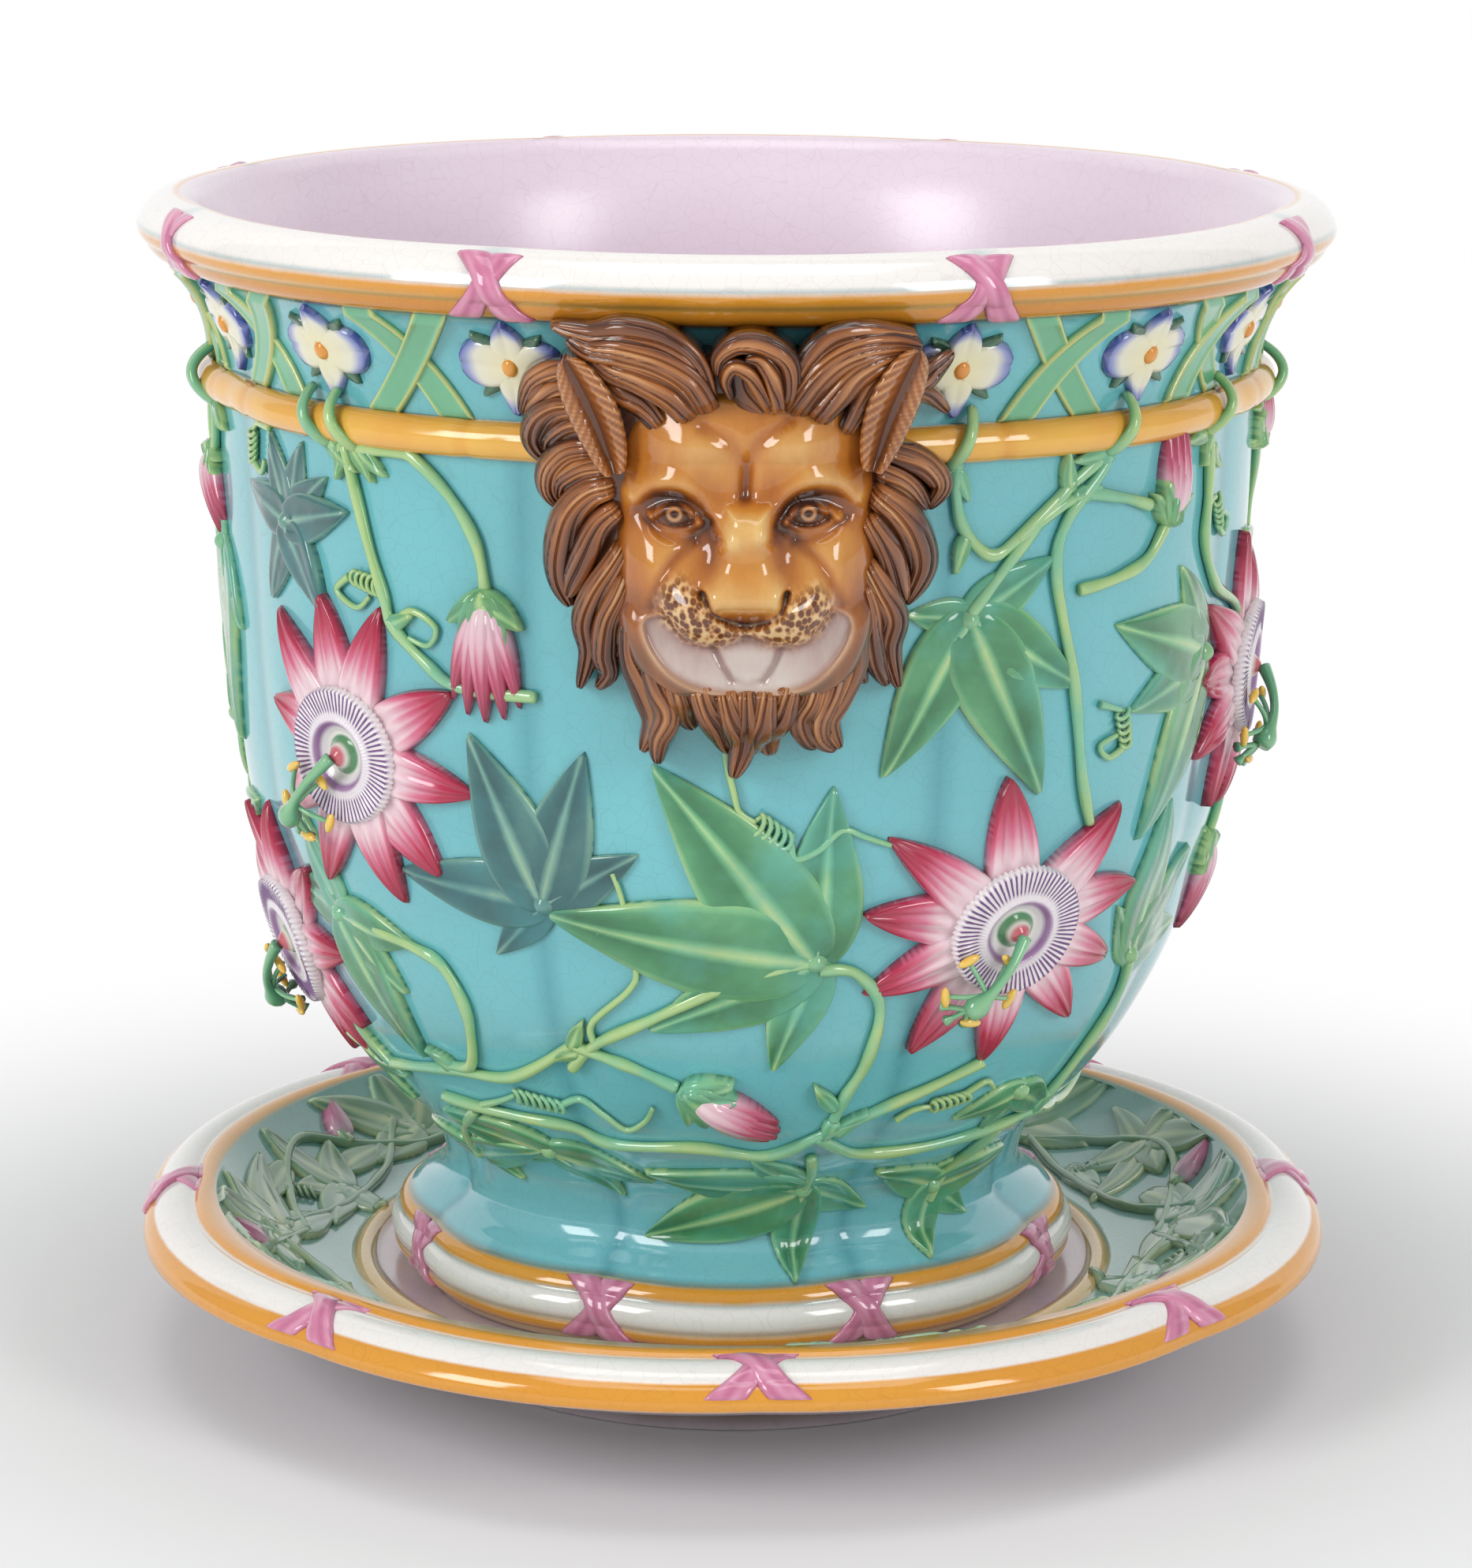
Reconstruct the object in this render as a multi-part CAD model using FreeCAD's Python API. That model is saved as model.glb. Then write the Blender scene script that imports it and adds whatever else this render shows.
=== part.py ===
import FreeCAD, Part

import math
import os

# A cachepot of glazed earthenware on its own stand. The outside of both is drawn out into eight shallow
# lobes, and the relief is a set of thin pieces seated on that outside. The origin is at the middle of the
# stand's foot, +Z is up and the lion mask of the front looks along -Y. Azimuths are degrees counted from
# the front, positive towards +X. Heights on the pot are counted from its foot face.

V = FreeCAD.Vector
UP = V(0, 0, 1)
OUT = V(0, -1, 0)
ORIGIN = V(0, 0, 0)

# Lobes: each is a many-sided turned form about an axis of its own
LOBES = 8
LOBE_AXIS_OFFSET = 40.0
FACET_TURN = 10.0
STAND_LOBE_TURN = 25.0

# Stand
STAND_HEIGHT = 65.0
STAND_RIM_RADIUS = 239.0
STAND_RIM_WIDTH = 32.0
STAND_FOOT_RADIUS = 124.0
STAND_FOOT_WIDTH = 7.0
STAND_FOOT_HEIGHT = 17.0
STAND_FOOT_STEP = 8.0
SEAT_HEIGHT = 32.5
SEAT_THICKNESS = 12.0
SEAT_RADIUS = 143.0
SEAT_BEAD_WIDTH = 9.0

# Cachepot
POT_HEIGHT = 427.0
RIM_RADIUS = 230.0
RIM_HEIGHT = 25.0
RIM_CREST_RADIUS = 213.0
RIM_LIP_WIDTH = 5.0
FRIEZE_HEIGHT = 34.5
FRIEZE_TOP_RADIUS = 218.0
WALL_RADIUS = 201.0
WALL_THICKNESS = 10.0
CANE_DIAMETER = 15.0
WAIST_RADIUS = 115.5
WAIST_HEIGHT = 46.5
FOOT_RADIUS = 136.0
FOOT_HEIGHT = 27.5
FOOT_BASE_RADIUS = 130.0
FOOT_RING_WIDTH = 14.0
FLOOR_RADIUS = 95.0
FLOOR_HEIGHT = 66.0
FLOOR_THICKNESS = 12.0

# Relief
LEAF_LENGTH = 52.0
LEAF_RELIEF = 3.0
VINE_WIDTH = 4.5
VINE_RELIEF = 3.0
FLOWER_RADIUS = 61.0
PETAL_RELIEF = 6.0
CORONA_RADIUS = 24.0
CORONA_RELIEF = 9.0
COLUMN_LENGTH = 30.0
COLUMN_RADIUS = 5.0
BUD_LENGTH = 38.0
BUD_RADIUS = 10.0
FRIEZE_FLOWER_RADIUS = 20.0
FRIEZE_FLOWER_RELIEF = 4.0
STAND_LEAF_LENGTH = 30.0
STAND_LEAF_RELIEF = 2.5

# Lion mask
LION_WIDTH = 146.0
LION_HEIGHT = 158.0
LION_RELIEF = 42.0
LION_TOP_GAP = 1.5

# Shares of the outlines, as (radius share, height share)
REED_BOW_SHARE = 0.17
ROLL_BOW_SHARE = 0.2
FRIEZE_BOW_SHARE = 0.116
HALF_ROUND_SHARE = 0.5
RIM_EDGE_SHARES = (0.96, 0.55)
RIM_RIDGE_SHARES = (0.71, 0.28)
WALL_CURVE_SHARES = [(0.952, 0.689), (0.888, 0.505), (0.707, 0.312), (0.573, 0.230), (0.416, 0.157),
                     (0.222, 0.092), (0.0, 0.0)]
SCOTIA_SHARES = [(0.862, 1.35), (0.934, 1.09)]
FOOT_REED_SHARES = [(0.949, 1.0), (0.985, 0.77), (1.0, 0.375), (0.978, 0.135)]
STAND_RIM_SHARES = [(0.893, 1.0), (0.908, 0.963), (0.975, 0.908), (0.998, 0.754)]
STAND_UNDER_SHARES = [(0.962, 0.708), (0.753, 0.415)]
WELL_BOW_SHARE = 0.12
BEAD_BOW_SHARE = 0.4
REED_STEPS = 2
ROLL_STEPS = 3
BUD_SHARES = [(0.0, 0.45), (0.3, 1.0), (0.7, 0.8), (1.0, 0.25)]
STEM_SIDES = 5
OVAL_SIDES = 8
ROUND_SIDES = 24

# Blades of the leaves and flowers: angle, length share and half-width share
LEAF_BLADE_SHARES = [(-94, 0.58, 0.12), (-45, 0.86, 0.14), (0, 1.0, 0.16), (45, 0.86, 0.14), (94, 0.58, 0.12)]
PETAL_SHARES = [(angle, 1.0, 0.14) for angle in range(-160, 200, 36)]
FRIEZE_PETAL_SHARES = [(angle, 1.0, 0.36) for angle in (-90, 0, 90, 180)]
LEAF_SHOULDER_SHARE = 0.6
LEAF_NOTCH_SHARE = 0.24
PETAL_SHOULDER_SHARE = 0.64
FRIEZE_PETAL_SHOULDER_SHARE = 0.75

# Places on the pot: azimuth, share of the height up to the cane band, then size share and turn
FLOWER_PLACE_SHARES = [(33, 0.503, 1.0, 8), (-45, 0.668, 1.0, 0), (-72, 0.41, 0.95, 14), (80, 0.705, 0.95, 4),
                       (135, 0.668, 1.0, 0), (-147, 0.503, 1.0, 8)]
PANEL_LEAF_SHARES = [(9.3, 0.478, 1.85, 168), (-21.5, 0.532, 1.3, 114), (25, 0.833, 1.4, 285),
                     (57, 0.424, 1.15, 45), (-53, 0.475, 1.15, -40),
                     (12.5, 0.174, 1.15, 190)]
PANEL_BUD_SHARES = [(-26.5, 0.85, -90), (51.5, 0.935, 80), (0, 0.297, -20)]
SIDE_BUD_SHARES = [(-84, 0.905, -60), (84, 0.915, 70), (86, 0.465, -90)]
PANEL_VINE_SHARES = [
    [(-62, 0.325), (-38, 0.325), (-20, 0.378), (-6, 0.325)],
    [(-55, 0.24), (-20, 0.25), (2, 0.237), (19, 0.29), (48, 0.35)],
    [(16, 0.228), (32, 0.228), (46, 0.24), (60, 0.232), (84, 0.215), (122, 0.24)],
    [(41, 0.985), (36, 0.83), (41, 0.63)],
]

# Stand's well: azimuth, share of the way from the seat's bead to the rim, turn
STAND_LEAF_SHARES = (0.42, 70)

# Lion mask, in shares of its half width and half height from its middle
LOCK_TIP_SHARES = [(0.07, 1.02), (-0.45, 0.98), (-0.98, 1.0), (-1.03, 0.56), (-0.94, 0.1), (-0.9, -0.34),
                   (-0.74, -0.72), (-0.42, -0.98), (0.0, -1.04), (0.42, -0.94), (0.7, -0.74), (0.88, -0.34),
                   (0.98, 0.1), (1.05, 0.56), (1.0, 1.0), (0.55, 0.97)]
LOCK_NOTCH_SHARE = 0.82
MANE_LAYER_SHARES = [(1.0, -0.3, -0.3), (1.0, 0.06, 0.0), (0.76, 0.56, 0.34)]
FACE_OUTLINE_SHARES = [(0.36, 0.72), (-0.36, 0.72), (-0.6, 0.3), (-0.52, -0.3), (-0.24, -0.6),
                       (0.24, -0.6), (0.52, -0.3), (0.6, 0.3)]
FACE_LAYER_SHARES = [(1.0, 0.22), (0.96, 0.5), (0.6, 0.68)]
NOSE_OUTLINE_SHARES = [(0.1, 0.34), (-0.1, 0.34), (-0.2, -0.1), (-0.1, -0.2), (0.1, -0.2), (0.2, -0.1)]
NOSE_LAYER_SHARES = [(1.0, 0.5), (0.7, 1.0)]
OVAL_SHARES = [(0.0, -0.28, 0.4, 0.24, 0.9), (-0.27, 0.44, 0.22, 0.12, 0.8), (0.27, 0.44, 0.22, 0.12, 0.8),
               (0.0, -0.55, 0.28, 0.1, 0.64)]
EAR_SHARES = [(-0.68, 0.62, 0.12, 0.26, 0.7), (0.68, 0.62, 0.12, 0.26, 0.7)]
OVAL_LAYER_SHARES = [(1.0, 0.4), (0.7, 1.0)]
MASK_LEAN_START_SHARE = 0.45
FRIEZE_STEPS = 2

# Heights that follow from the sizes above
RIM_BASE = POT_HEIGHT - RIM_HEIGHT
WALL_TOP = RIM_BASE - FRIEZE_HEIGHT
CANE_BOTTOM = WALL_TOP - CANE_DIAMETER
LION_CENTRE_HEIGHT = RIM_BASE - LION_TOP_GAP - LION_HEIGHT / 2
LOBE_MIDDLE = int(180 / LOBES / FACET_TURN)


def bow(start, end, share, steps):
    """Spots along an arc from start to end that stands off its chord, to the left, by a share of it."""
    half_turn = 2 * math.atan(2 * share)
    dx = end[0] - start[0]
    dz = end[1] - start[1]
    middle = ((start[0] + end[0]) / 2, (start[1] + end[1]) / 2)
    drop = 1 / (2 * math.tan(half_turn)) if share else 0
    centre = (middle[0] + drop * dz, middle[1] - drop * dx)
    spots = []
    for step in range(1, steps + 1):
        angle = -2 * half_turn * step / steps
        rx = start[0] - centre[0]
        rz = start[1] - centre[1]
        spots.append((centre[0] + rx * math.cos(angle) - rz * math.sin(angle),
                      centre[1] + rx * math.sin(angle) + rz * math.cos(angle)))
    return spots


def lobed_ring(radius, height):
    """Corners of a ring of eight lobes. Every lobe's sides keep their directions at every radius."""
    own = radius - LOBE_AXIS_OFFSET
    half = math.pi / LOBES
    turn = math.radians(FACET_TURN)
    side_count = int(half / turn)
    corner = (LOBE_AXIS_OFFSET + own * math.cos(side_count * turn), own * math.sin(side_count * turn))
    slope = (side_count + 0.5) * turn
    reach = (math.tan(half) * corner[0] - corner[1]) / (math.cos(slope) + math.tan(half) * math.sin(slope))
    valley = (corner[0] - reach * math.sin(slope), corner[1] + reach * math.cos(slope))
    points = []
    for count in range(-side_count, side_count + 1):
        points.append((LOBE_AXIS_OFFSET + own * math.cos(count * turn), own * math.sin(count * turn)))
    points.append(valley)
    ring = []
    for lobe in range(LOBES):
        aim = 2 * math.pi * lobe / LOBES - math.pi / 2
        for x, y in points:
            ring.append(V(x * math.cos(aim) - y * math.sin(aim), x * math.sin(aim) + y * math.cos(aim), height))
    return ring


def round_ring(radius, height):
    """Corners of a many-sided ring without lobes."""
    turns = [2 * math.pi * (corner - LOBE_MIDDLE) / ROUND_SIDES for corner in range(ROUND_SIDES)]
    return [V(radius * math.sin(turn), -radius * math.cos(turn), height) for turn in turns]


def bands(rings):
    """Flat faces that join each ring to the next."""
    faces = []
    for low, high in zip(rings, rings[1:]):
        for here in range(len(low)):
            past = (here + 1) % len(low)
            faces.append(Part.Face(Part.makePolygon([low[here], low[past], high[past], high[here], low[here]])))
    return faces


def disc(ring):
    return Part.Face(Part.makePolygon(ring + ring[:1]))


def solid_of(faces):
    shell = Part.makeShell(faces)
    shell.sewShape()
    solid = Part.makeSolid(shell)
    if solid.Volume < 0:
        solid.reverse()
    return solid


def hoop(spots, make_ring):
    """Ring-shaped solid of a closed section."""
    rings = [make_ring(radius, height) for radius, height in spots]
    return solid_of(bands(rings + rings[:1]))


def rim_spots():
    """From the crest of the rim outwards and down to the top of the frieze."""
    crest = (RIM_CREST_RADIUS, POT_HEIGHT)
    reach = RIM_RADIUS - FRIEZE_TOP_RADIUS
    edge = (FRIEZE_TOP_RADIUS + RIM_EDGE_SHARES[0] * reach, RIM_BASE + RIM_EDGE_SHARES[1] * RIM_HEIGHT)
    ridge = (FRIEZE_TOP_RADIUS + RIM_RIDGE_SHARES[0] * reach, RIM_BASE + RIM_RIDGE_SHARES[1] * RIM_HEIGHT)
    base = (FRIEZE_TOP_RADIUS, RIM_BASE)
    roll = [crest] + bow(crest, edge, ROLL_BOW_SHARE, ROLL_STEPS)
    return roll + bow(edge, ridge, REED_BOW_SHARE, REED_STEPS) + bow(ridge, base, REED_BOW_SHARE, REED_STEPS)


def frieze_spots():
    """From the rim down the hollow of the frieze to the cane band."""
    return bow((FRIEZE_TOP_RADIUS, RIM_BASE), (WALL_RADIUS, WALL_TOP), -FRIEZE_BOW_SHARE, FRIEZE_STEPS)


def wall_spot(shares):
    """Spot on the wall's curve, as shares of its run from the waist to the cane band."""
    radius = WAIST_RADIUS + shares[0] * (WALL_RADIUS - WAIST_RADIUS)
    return (radius, WAIST_HEIGHT + shares[1] * (CANE_BOTTOM - WAIST_HEIGHT))


def wall_spots():
    """From the cane band down to the waist."""
    return [(WALL_RADIUS, CANE_BOTTOM)] + [wall_spot(shares) for shares in WALL_CURVE_SHARES]


def foot_spots():
    """From the waist over the three reeds of the foot to its worn face."""
    spots = [(shares[0] * FOOT_RADIUS, shares[1] * FOOT_HEIGHT) for shares in SCOTIA_SHARES]
    corners = [(shares[0] * FOOT_RADIUS, shares[1] * FOOT_HEIGHT) for shares in FOOT_REED_SHARES]
    spots.append(corners[0])
    for start, end in zip(corners, corners[1:]):
        spots += bow(start, end, REED_BOW_SHARE, REED_STEPS)
    return spots + [(FOOT_BASE_RADIUS, 0)]


def outside_spots():
    return rim_spots() + frieze_spots() + wall_spots() + foot_spots()


def inside_spots():
    """From the rim's lip down the round inside to the floor."""
    lip = RIM_CREST_RADIUS - RIM_LIP_WIDTH
    spots = [(lip, POT_HEIGHT), (lip - RIM_LIP_WIDTH / 2, POT_HEIGHT - RIM_LIP_WIDTH)]
    for radius, height in wall_spots()[:-2]:
        slope = (WALL_RADIUS - radius) / (WALL_RADIUS - WAIST_RADIUS)
        spots.append((radius - WALL_THICKNESS, height + slope * WALL_THICKNESS))
    return [spot for spot in spots if spot[1] > FLOOR_HEIGHT] + [(FLOOR_RADIUS, FLOOR_HEIGHT)]


def recess_spots():
    """From the foot ring's inner edge up to the underside of the floor."""
    edge = FOOT_BASE_RADIUS - FOOT_RING_WIDTH
    top = FLOOR_HEIGHT - FLOOR_THICKNESS
    return [(edge, 0), ((edge + FLOOR_RADIUS) / 2, top / 2), (FLOOR_RADIUS - WALL_THICKNESS / 2, top)]


def pot_core():
    """The pot's outside as a filled solid."""
    rings = [lobed_ring(radius, height) for radius, height in outside_spots()]
    return solid_of(bands(rings) + [disc(rings[0]), disc(rings[-1])])


def pot_body():
    outer = [lobed_ring(radius, height) for radius, height in outside_spots()]
    inner = [round_ring(radius, height) for radius, height in inside_spots()]
    recess = [round_ring(radius, height) for radius, height in recess_spots()]
    faces = bands(outer) + bands(inner) + bands(recess)
    faces += disc(outer[0]).cut(disc(inner[0])).Faces + disc(outer[-1]).cut(disc(recess[0])).Faces
    return solid_of(faces + [disc(inner[-1]), disc(recess[-1])])


def cane_spots():
    """Half round, from the foot of the frieze to the top of the wall."""
    return bow((WALL_RADIUS, WALL_TOP), (WALL_RADIUS, CANE_BOTTOM), HALF_ROUND_SHARE, ROLL_STEPS)


def cane_band():
    return hoop([(WALL_RADIUS, WALL_TOP)] + cane_spots(), lobed_ring)


def stand_rim_spots():
    """From the stand's inner reed outwards over the rim to its lip."""
    corners = [(shares[0] * STAND_RIM_RADIUS, shares[1] * STAND_HEIGHT) for shares in STAND_RIM_SHARES]
    spots = corners[:1]
    for start, end in zip(corners, corners[1:]):
        spots += bow(start, end, REED_BOW_SHARE, REED_STEPS)
    return spots


def stand_under_spots():
    """From the lip inwards below to the step at the foot ring."""
    spots = [(shares[0] * STAND_RIM_RADIUS, shares[1] * STAND_HEIGHT) for shares in STAND_UNDER_SHARES]
    return spots + [(STAND_FOOT_RADIUS + STAND_FOOT_STEP, STAND_FOOT_HEIGHT)]


def well_spots():
    """From the rim's inner edge down the well to the bead round the seat."""
    edge = (STAND_RIM_RADIUS - STAND_RIM_WIDTH, STAND_HEIGHT)
    bead = (SEAT_RADIUS + SEAT_BEAD_WIDTH, SEAT_HEIGHT)
    return [edge] + bow(edge, bead, WELL_BOW_SHARE, ROLL_STEPS)


def stand_dish():
    bead = bow(well_spots()[-1], (SEAT_RADIUS, SEAT_HEIGHT), -BEAD_BOW_SHARE, REED_STEPS)
    outer = [lobed_ring(radius, height) for radius, height in stand_rim_spots() + stand_under_spots()]
    inner = [round_ring(radius, height) for radius, height in well_spots() + bead]
    foot = [round_ring(STAND_FOOT_RADIUS, STAND_FOOT_HEIGHT), round_ring(STAND_FOOT_RADIUS, 0)]
    hollow_radius = STAND_FOOT_RADIUS - STAND_FOOT_WIDTH
    hollow = [round_ring(hollow_radius, 0),
              round_ring(hollow_radius - STAND_FOOT_WIDTH, SEAT_HEIGHT - SEAT_THICKNESS)]
    faces = bands(outer) + bands(inner) + bands(foot) + bands(hollow) + [disc(inner[-1]), disc(hollow[-1])]
    faces += disc(outer[0]).cut(disc(inner[0])).Faces + disc(outer[-1]).cut(disc(foot[0])).Faces
    return solid_of(faces + disc(foot[-1]).cut(disc(hollow[0])).Faces)


def grown(spots, relief):
    """The same run of spots, standing out from it by the relief."""
    out = []
    for index, spot in enumerate(spots):
        before = spots[max(index - 1, 0)]
        after = spots[min(index + 1, len(spots) - 1)]
        length = math.hypot(after[0] - before[0], after[1] - before[1])
        out.append((spot[0] - relief * (after[1] - before[1]) / length,
                    spot[1] + relief * (after[0] - before[0]) / length))
    return out


def sector(ring, azimuth, span):
    """Corners of a ring within a span to either side of an azimuth."""
    per_turn = len(ring) / 360
    first = LOBE_MIDDLE + math.floor((azimuth - span) * per_turn)
    last = LOBE_MIDDLE + math.ceil((azimuth + span) * per_turn)
    return [ring[index % len(ring)] for index in range(first, last + 1)]


def patch(outer, inner, azimuth, span, make_ring=lobed_ring):
    """Solid between two runs of spots, over a span to either side of an azimuth."""
    closed = outer + inner[::-1] + outer[:1]
    rings = [sector(make_ring(radius, height), azimuth, span) for radius, height in closed]
    faces = []
    for low, high in zip(rings, rings[1:]):
        for here in range(len(low) - 1):
            corners = [low[here], low[here + 1], high[here + 1], high[here], low[here]]
            faces.append(Part.Face(Part.makePolygon(corners)))
    ends = [disc([ring[0] for ring in rings[:-1]]), disc([ring[-1] for ring in rings[:-1]])]
    return solid_of(faces + ends)


def prism_of(outline, azimuth, height):
    """Prism of an outline round a place on the pot, standing outwards from its axis."""
    corners = [V(x, 0, height + z) for x, z in outline]
    return turned_to(Part.Face(Part.makePolygon(corners + corners[:1])).extrude(OUT * 2 * WALL_RADIUS), azimuth)


def raised(outline, azimuth, height, spots, relief):
    """Piece of an outline that stands off a run of the outside by an even relief."""
    top = height + max(z for x, z in outline)
    base = height + min(z for x, z in outline)
    first = max([index for index, spot in enumerate(spots) if spot[1] >= top], default=0)
    last = min([index for index, spot in enumerate(spots) if spot[1] <= base], default=len(spots) - 1)
    under = spots[first:last + 1]
    over = grown(spots, relief)[first:last + 1]
    near = min(radius for radius, z in under)
    span = math.degrees(math.asin(min(1, max(abs(x) for x, z in outline) / near)))
    return prism_of(outline, azimuth, height).common(patch(over, under, azimuth, span))


def turned_to(shape, azimuth):
    return shape.rotated(ORIGIN, UP, azimuth)


def all_round(shapes, azimuths):
    return [turned_to(shape, azimuth) for azimuth in azimuths for shape in shapes]


def less(shapes, cutters):
    """The shapes without what the cutters take up, as one list of solids."""
    rest = []
    for shape in shapes:
        near = [cutter for cutter in cutters if cutter.BoundBox.intersect(shape.BoundBox)]
        rest += (shape.cut(near) if near else shape).Solids
    return rest


def wheel(radius, corners):
    turns = [2 * math.pi * corner / corners for corner in range(corners)]
    return [(radius * math.cos(turn), radius * math.sin(turn)) for turn in turns]


def blades(length, turn, table, shoulder_share, notch_share=0):
    """Outline of blades round a hub. A row holds a blade's angle, and shares for its length and width."""
    outline = []
    for index, (angle, reach, width) in enumerate(table):
        aim = math.radians(angle + turn)
        notch = aim - math.radians((angle - table[index - 1][0]) % 360) / 2
        if notch_share:
            outline.append((notch_share * length * math.cos(notch), notch_share * length * math.sin(notch)))
        for along, across in ((shoulder_share, -width), (1, 0), (shoulder_share, width)):
            x = along * reach * length
            y = across * length
            outline.append((x * math.cos(aim) - y * math.sin(aim), x * math.sin(aim) + y * math.cos(aim)))
    return outline


def relief_spots():
    """The run of the outside that carries the foliage."""
    return wall_spots() + foot_spots()[:len(SCOTIA_SHARES)]


def wall_radius_at(height):
    spots = relief_spots()
    for high, low in zip(spots, spots[1:]):
        if low[1] <= height <= high[1]:
            return low[0] + (high[0] - low[0]) * (height - low[1]) / (high[1] - low[1])
    return WALL_RADIUS


def frieze_run():
    return rim_spots()[-1:] + frieze_spots()


def wall_backing(azimuth, span, depth):
    """Block of the pot's body and cane behind a stretch of the outside, with which pieces are fitted."""
    spots = frieze_run() + cane_spots() + relief_spots()[1:]
    return patch(spots, [(radius - depth, height) for radius, height in spots], azimuth, span)


def passion_flowers():
    """Stars of ten pointed petals."""
    flowers = []
    for azimuth, share, size, turn in FLOWER_PLACE_SHARES:
        outline = blades(size * FLOWER_RADIUS, turn, PETAL_SHARES, PETAL_SHOULDER_SHARE)
        flowers.append(raised(outline, azimuth, share * CANE_BOTTOM, relief_spots(), PETAL_RELIEF))
    return flowers


def coronas():
    """Raised round middles of the passion flowers, which seat in a hole of the petals."""
    outline = wheel(CORONA_RADIUS, 2 * STEM_SIDES)
    return [raised(outline, azimuth, share * CANE_BOTTOM, relief_spots(), CORONA_RELIEF)
            for azimuth, share, size, turn in FLOWER_PLACE_SHARES]


def tapered(rings):
    """Solid through rings of as many corners each, in flat triangles, with a fan over each end."""
    triangles = []
    for low, high in zip(rings, rings[1:]):
        for here in range(len(low)):
            past = (here + 1) % len(low)
            triangles += [(low[here], low[past], high[past]), (low[here], high[past], high[here])]
    for ring in (rings[0], rings[-1]):
        middle = V(0, 0, 0)
        for corner in ring:
            middle += corner
        middle.multiply(1 / len(ring))
        triangles += [(corner, ring[(here + 1) % len(ring)], middle) for here, corner in enumerate(ring)]
    return solid_of([Part.Face(Part.makePolygon([a, b, c, a])) for a, b, c in triangles])


def spindle(start, aim, length, profile, sides):
    """Many-sided spindle along an aim. The profile holds shares along it and radii."""
    aim = V(aim).normalize()
    across = aim.cross(OUT if abs(aim.dot(UP)) > abs(aim.dot(OUT)) else UP).normalize()
    lift = aim.cross(across)
    rings = []
    for along, radius in profile:
        ring = []
        for side in range(sides):
            turn = 2 * math.pi * side / sides
            offset = across * (radius * math.cos(turn)) + lift * (radius * math.sin(turn))
            ring.append(start + aim * (along * length) + offset)
        rings.append(ring)
    return tapered(rings)


def stamen_columns(discs):
    """Columns that stand out from the coronas and lean down to one side."""
    profile = [(0, COLUMN_RADIUS), (0.75, COLUMN_RADIUS * 0.6), (0.8, COLUMN_RADIUS * 1.6), (1, COLUMN_RADIUS)]
    columns = []
    for azimuth, share, size, turn in FLOWER_PLACE_SHARES:
        height = share * CANE_BOTTOM
        start = OUT * (wall_radius_at(height) + CORONA_RELIEF / 2) + UP * height
        column = spindle(start, V(-0.5, -1, -0.45), COLUMN_LENGTH, profile, STEM_SIDES)
        columns.append(turned_to(column, azimuth))
    return less(columns, discs)


def buds(places):
    solids = []
    profile = [(along, radius * BUD_RADIUS) for along, radius in BUD_SHARES]
    for azimuth, share, turn in places:
        height = share * CANE_BOTTOM
        aim = V(math.cos(math.radians(turn)), 0, math.sin(math.radians(turn)))
        middle = OUT * (wall_radius_at(height) + BUD_RADIUS / 2) + UP * height
        bud = spindle(middle - aim * (BUD_LENGTH / 2), aim, BUD_LENGTH, profile, STEM_SIDES)
        solids.append(turned_to(bud, azimuth).cut(wall_backing(azimuth, 12, 2 * BUD_RADIUS)))
    return solids


def both_panels(shapes):
    """The panel round the front, and the same panel round the back."""
    return shapes + all_round(shapes, [180])


def leaves(places):
    solids = []
    for azimuth, share, size, turn in places:
        outline = blades(size * LEAF_LENGTH, turn, LEAF_BLADE_SHARES, LEAF_SHOULDER_SHARE, LEAF_NOTCH_SHARE)
        solids.append(raised(outline, azimuth, share * CANE_BOTTOM, relief_spots(), LEAF_RELIEF))
    return solids


def strip(spots, width):
    """Outline of a strip of an even width along a route of spots, mitred at its bends."""
    left = []
    right = []
    for index, (x, z) in enumerate(spots):
        before = spots[max(index - 1, 0)]
        after = spots[min(index + 1, len(spots) - 1)]
        first = math.atan2(z - before[1], x - before[0]) if index else None
        second = math.atan2(after[1] - z, after[0] - x) if index < len(spots) - 1 else first
        first = second if first is None else first
        bend = math.remainder(second - first, 2 * math.pi) / 2
        aim = first + bend + math.pi / 2
        half = width / 2 / math.cos(bend)
        left.append((x + half * math.cos(aim), z + half * math.sin(aim)))
        right.append((x - half * math.cos(aim), z - half * math.sin(aim)))
    return left + right[::-1]


def vines():
    """Stems along their routes over the panel."""
    stems = []
    for route in PANEL_VINE_SHARES:
        middle = (min(azimuth for azimuth, share in route) + max(azimuth for azimuth, share in route)) / 2
        spots = []
        for azimuth, share in route:
            height = share * CANE_BOTTOM
            spots.append((wall_radius_at(height) * math.sin(math.radians(azimuth - middle)), height))
        stems.append(raised(strip(spots, VINE_WIDTH), middle, 0, relief_spots(), VINE_RELIEF))
    return stems


def frieze_flowers():
    """Four-petalled flowers at every lobe's middle and edge, but none under the masks."""
    outline = blades(FRIEZE_FLOWER_RADIUS, 0, FRIEZE_PETAL_SHARES, FRIEZE_PETAL_SHOULDER_SHARE)
    middle = WALL_TOP + FRIEZE_HEIGHT / 2
    pair = [raised(outline, turn, middle, frieze_run(), FRIEZE_FLOWER_RELIEF) for turn in (0, 180 / LOBES)]
    flowers = []
    for place in range(2 * LOBES):
        if place % LOBES:
            flowers.append(turned_to(pair[place % 2], (place - place % 2) * 180 / LOBES))
    return flowers


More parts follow.
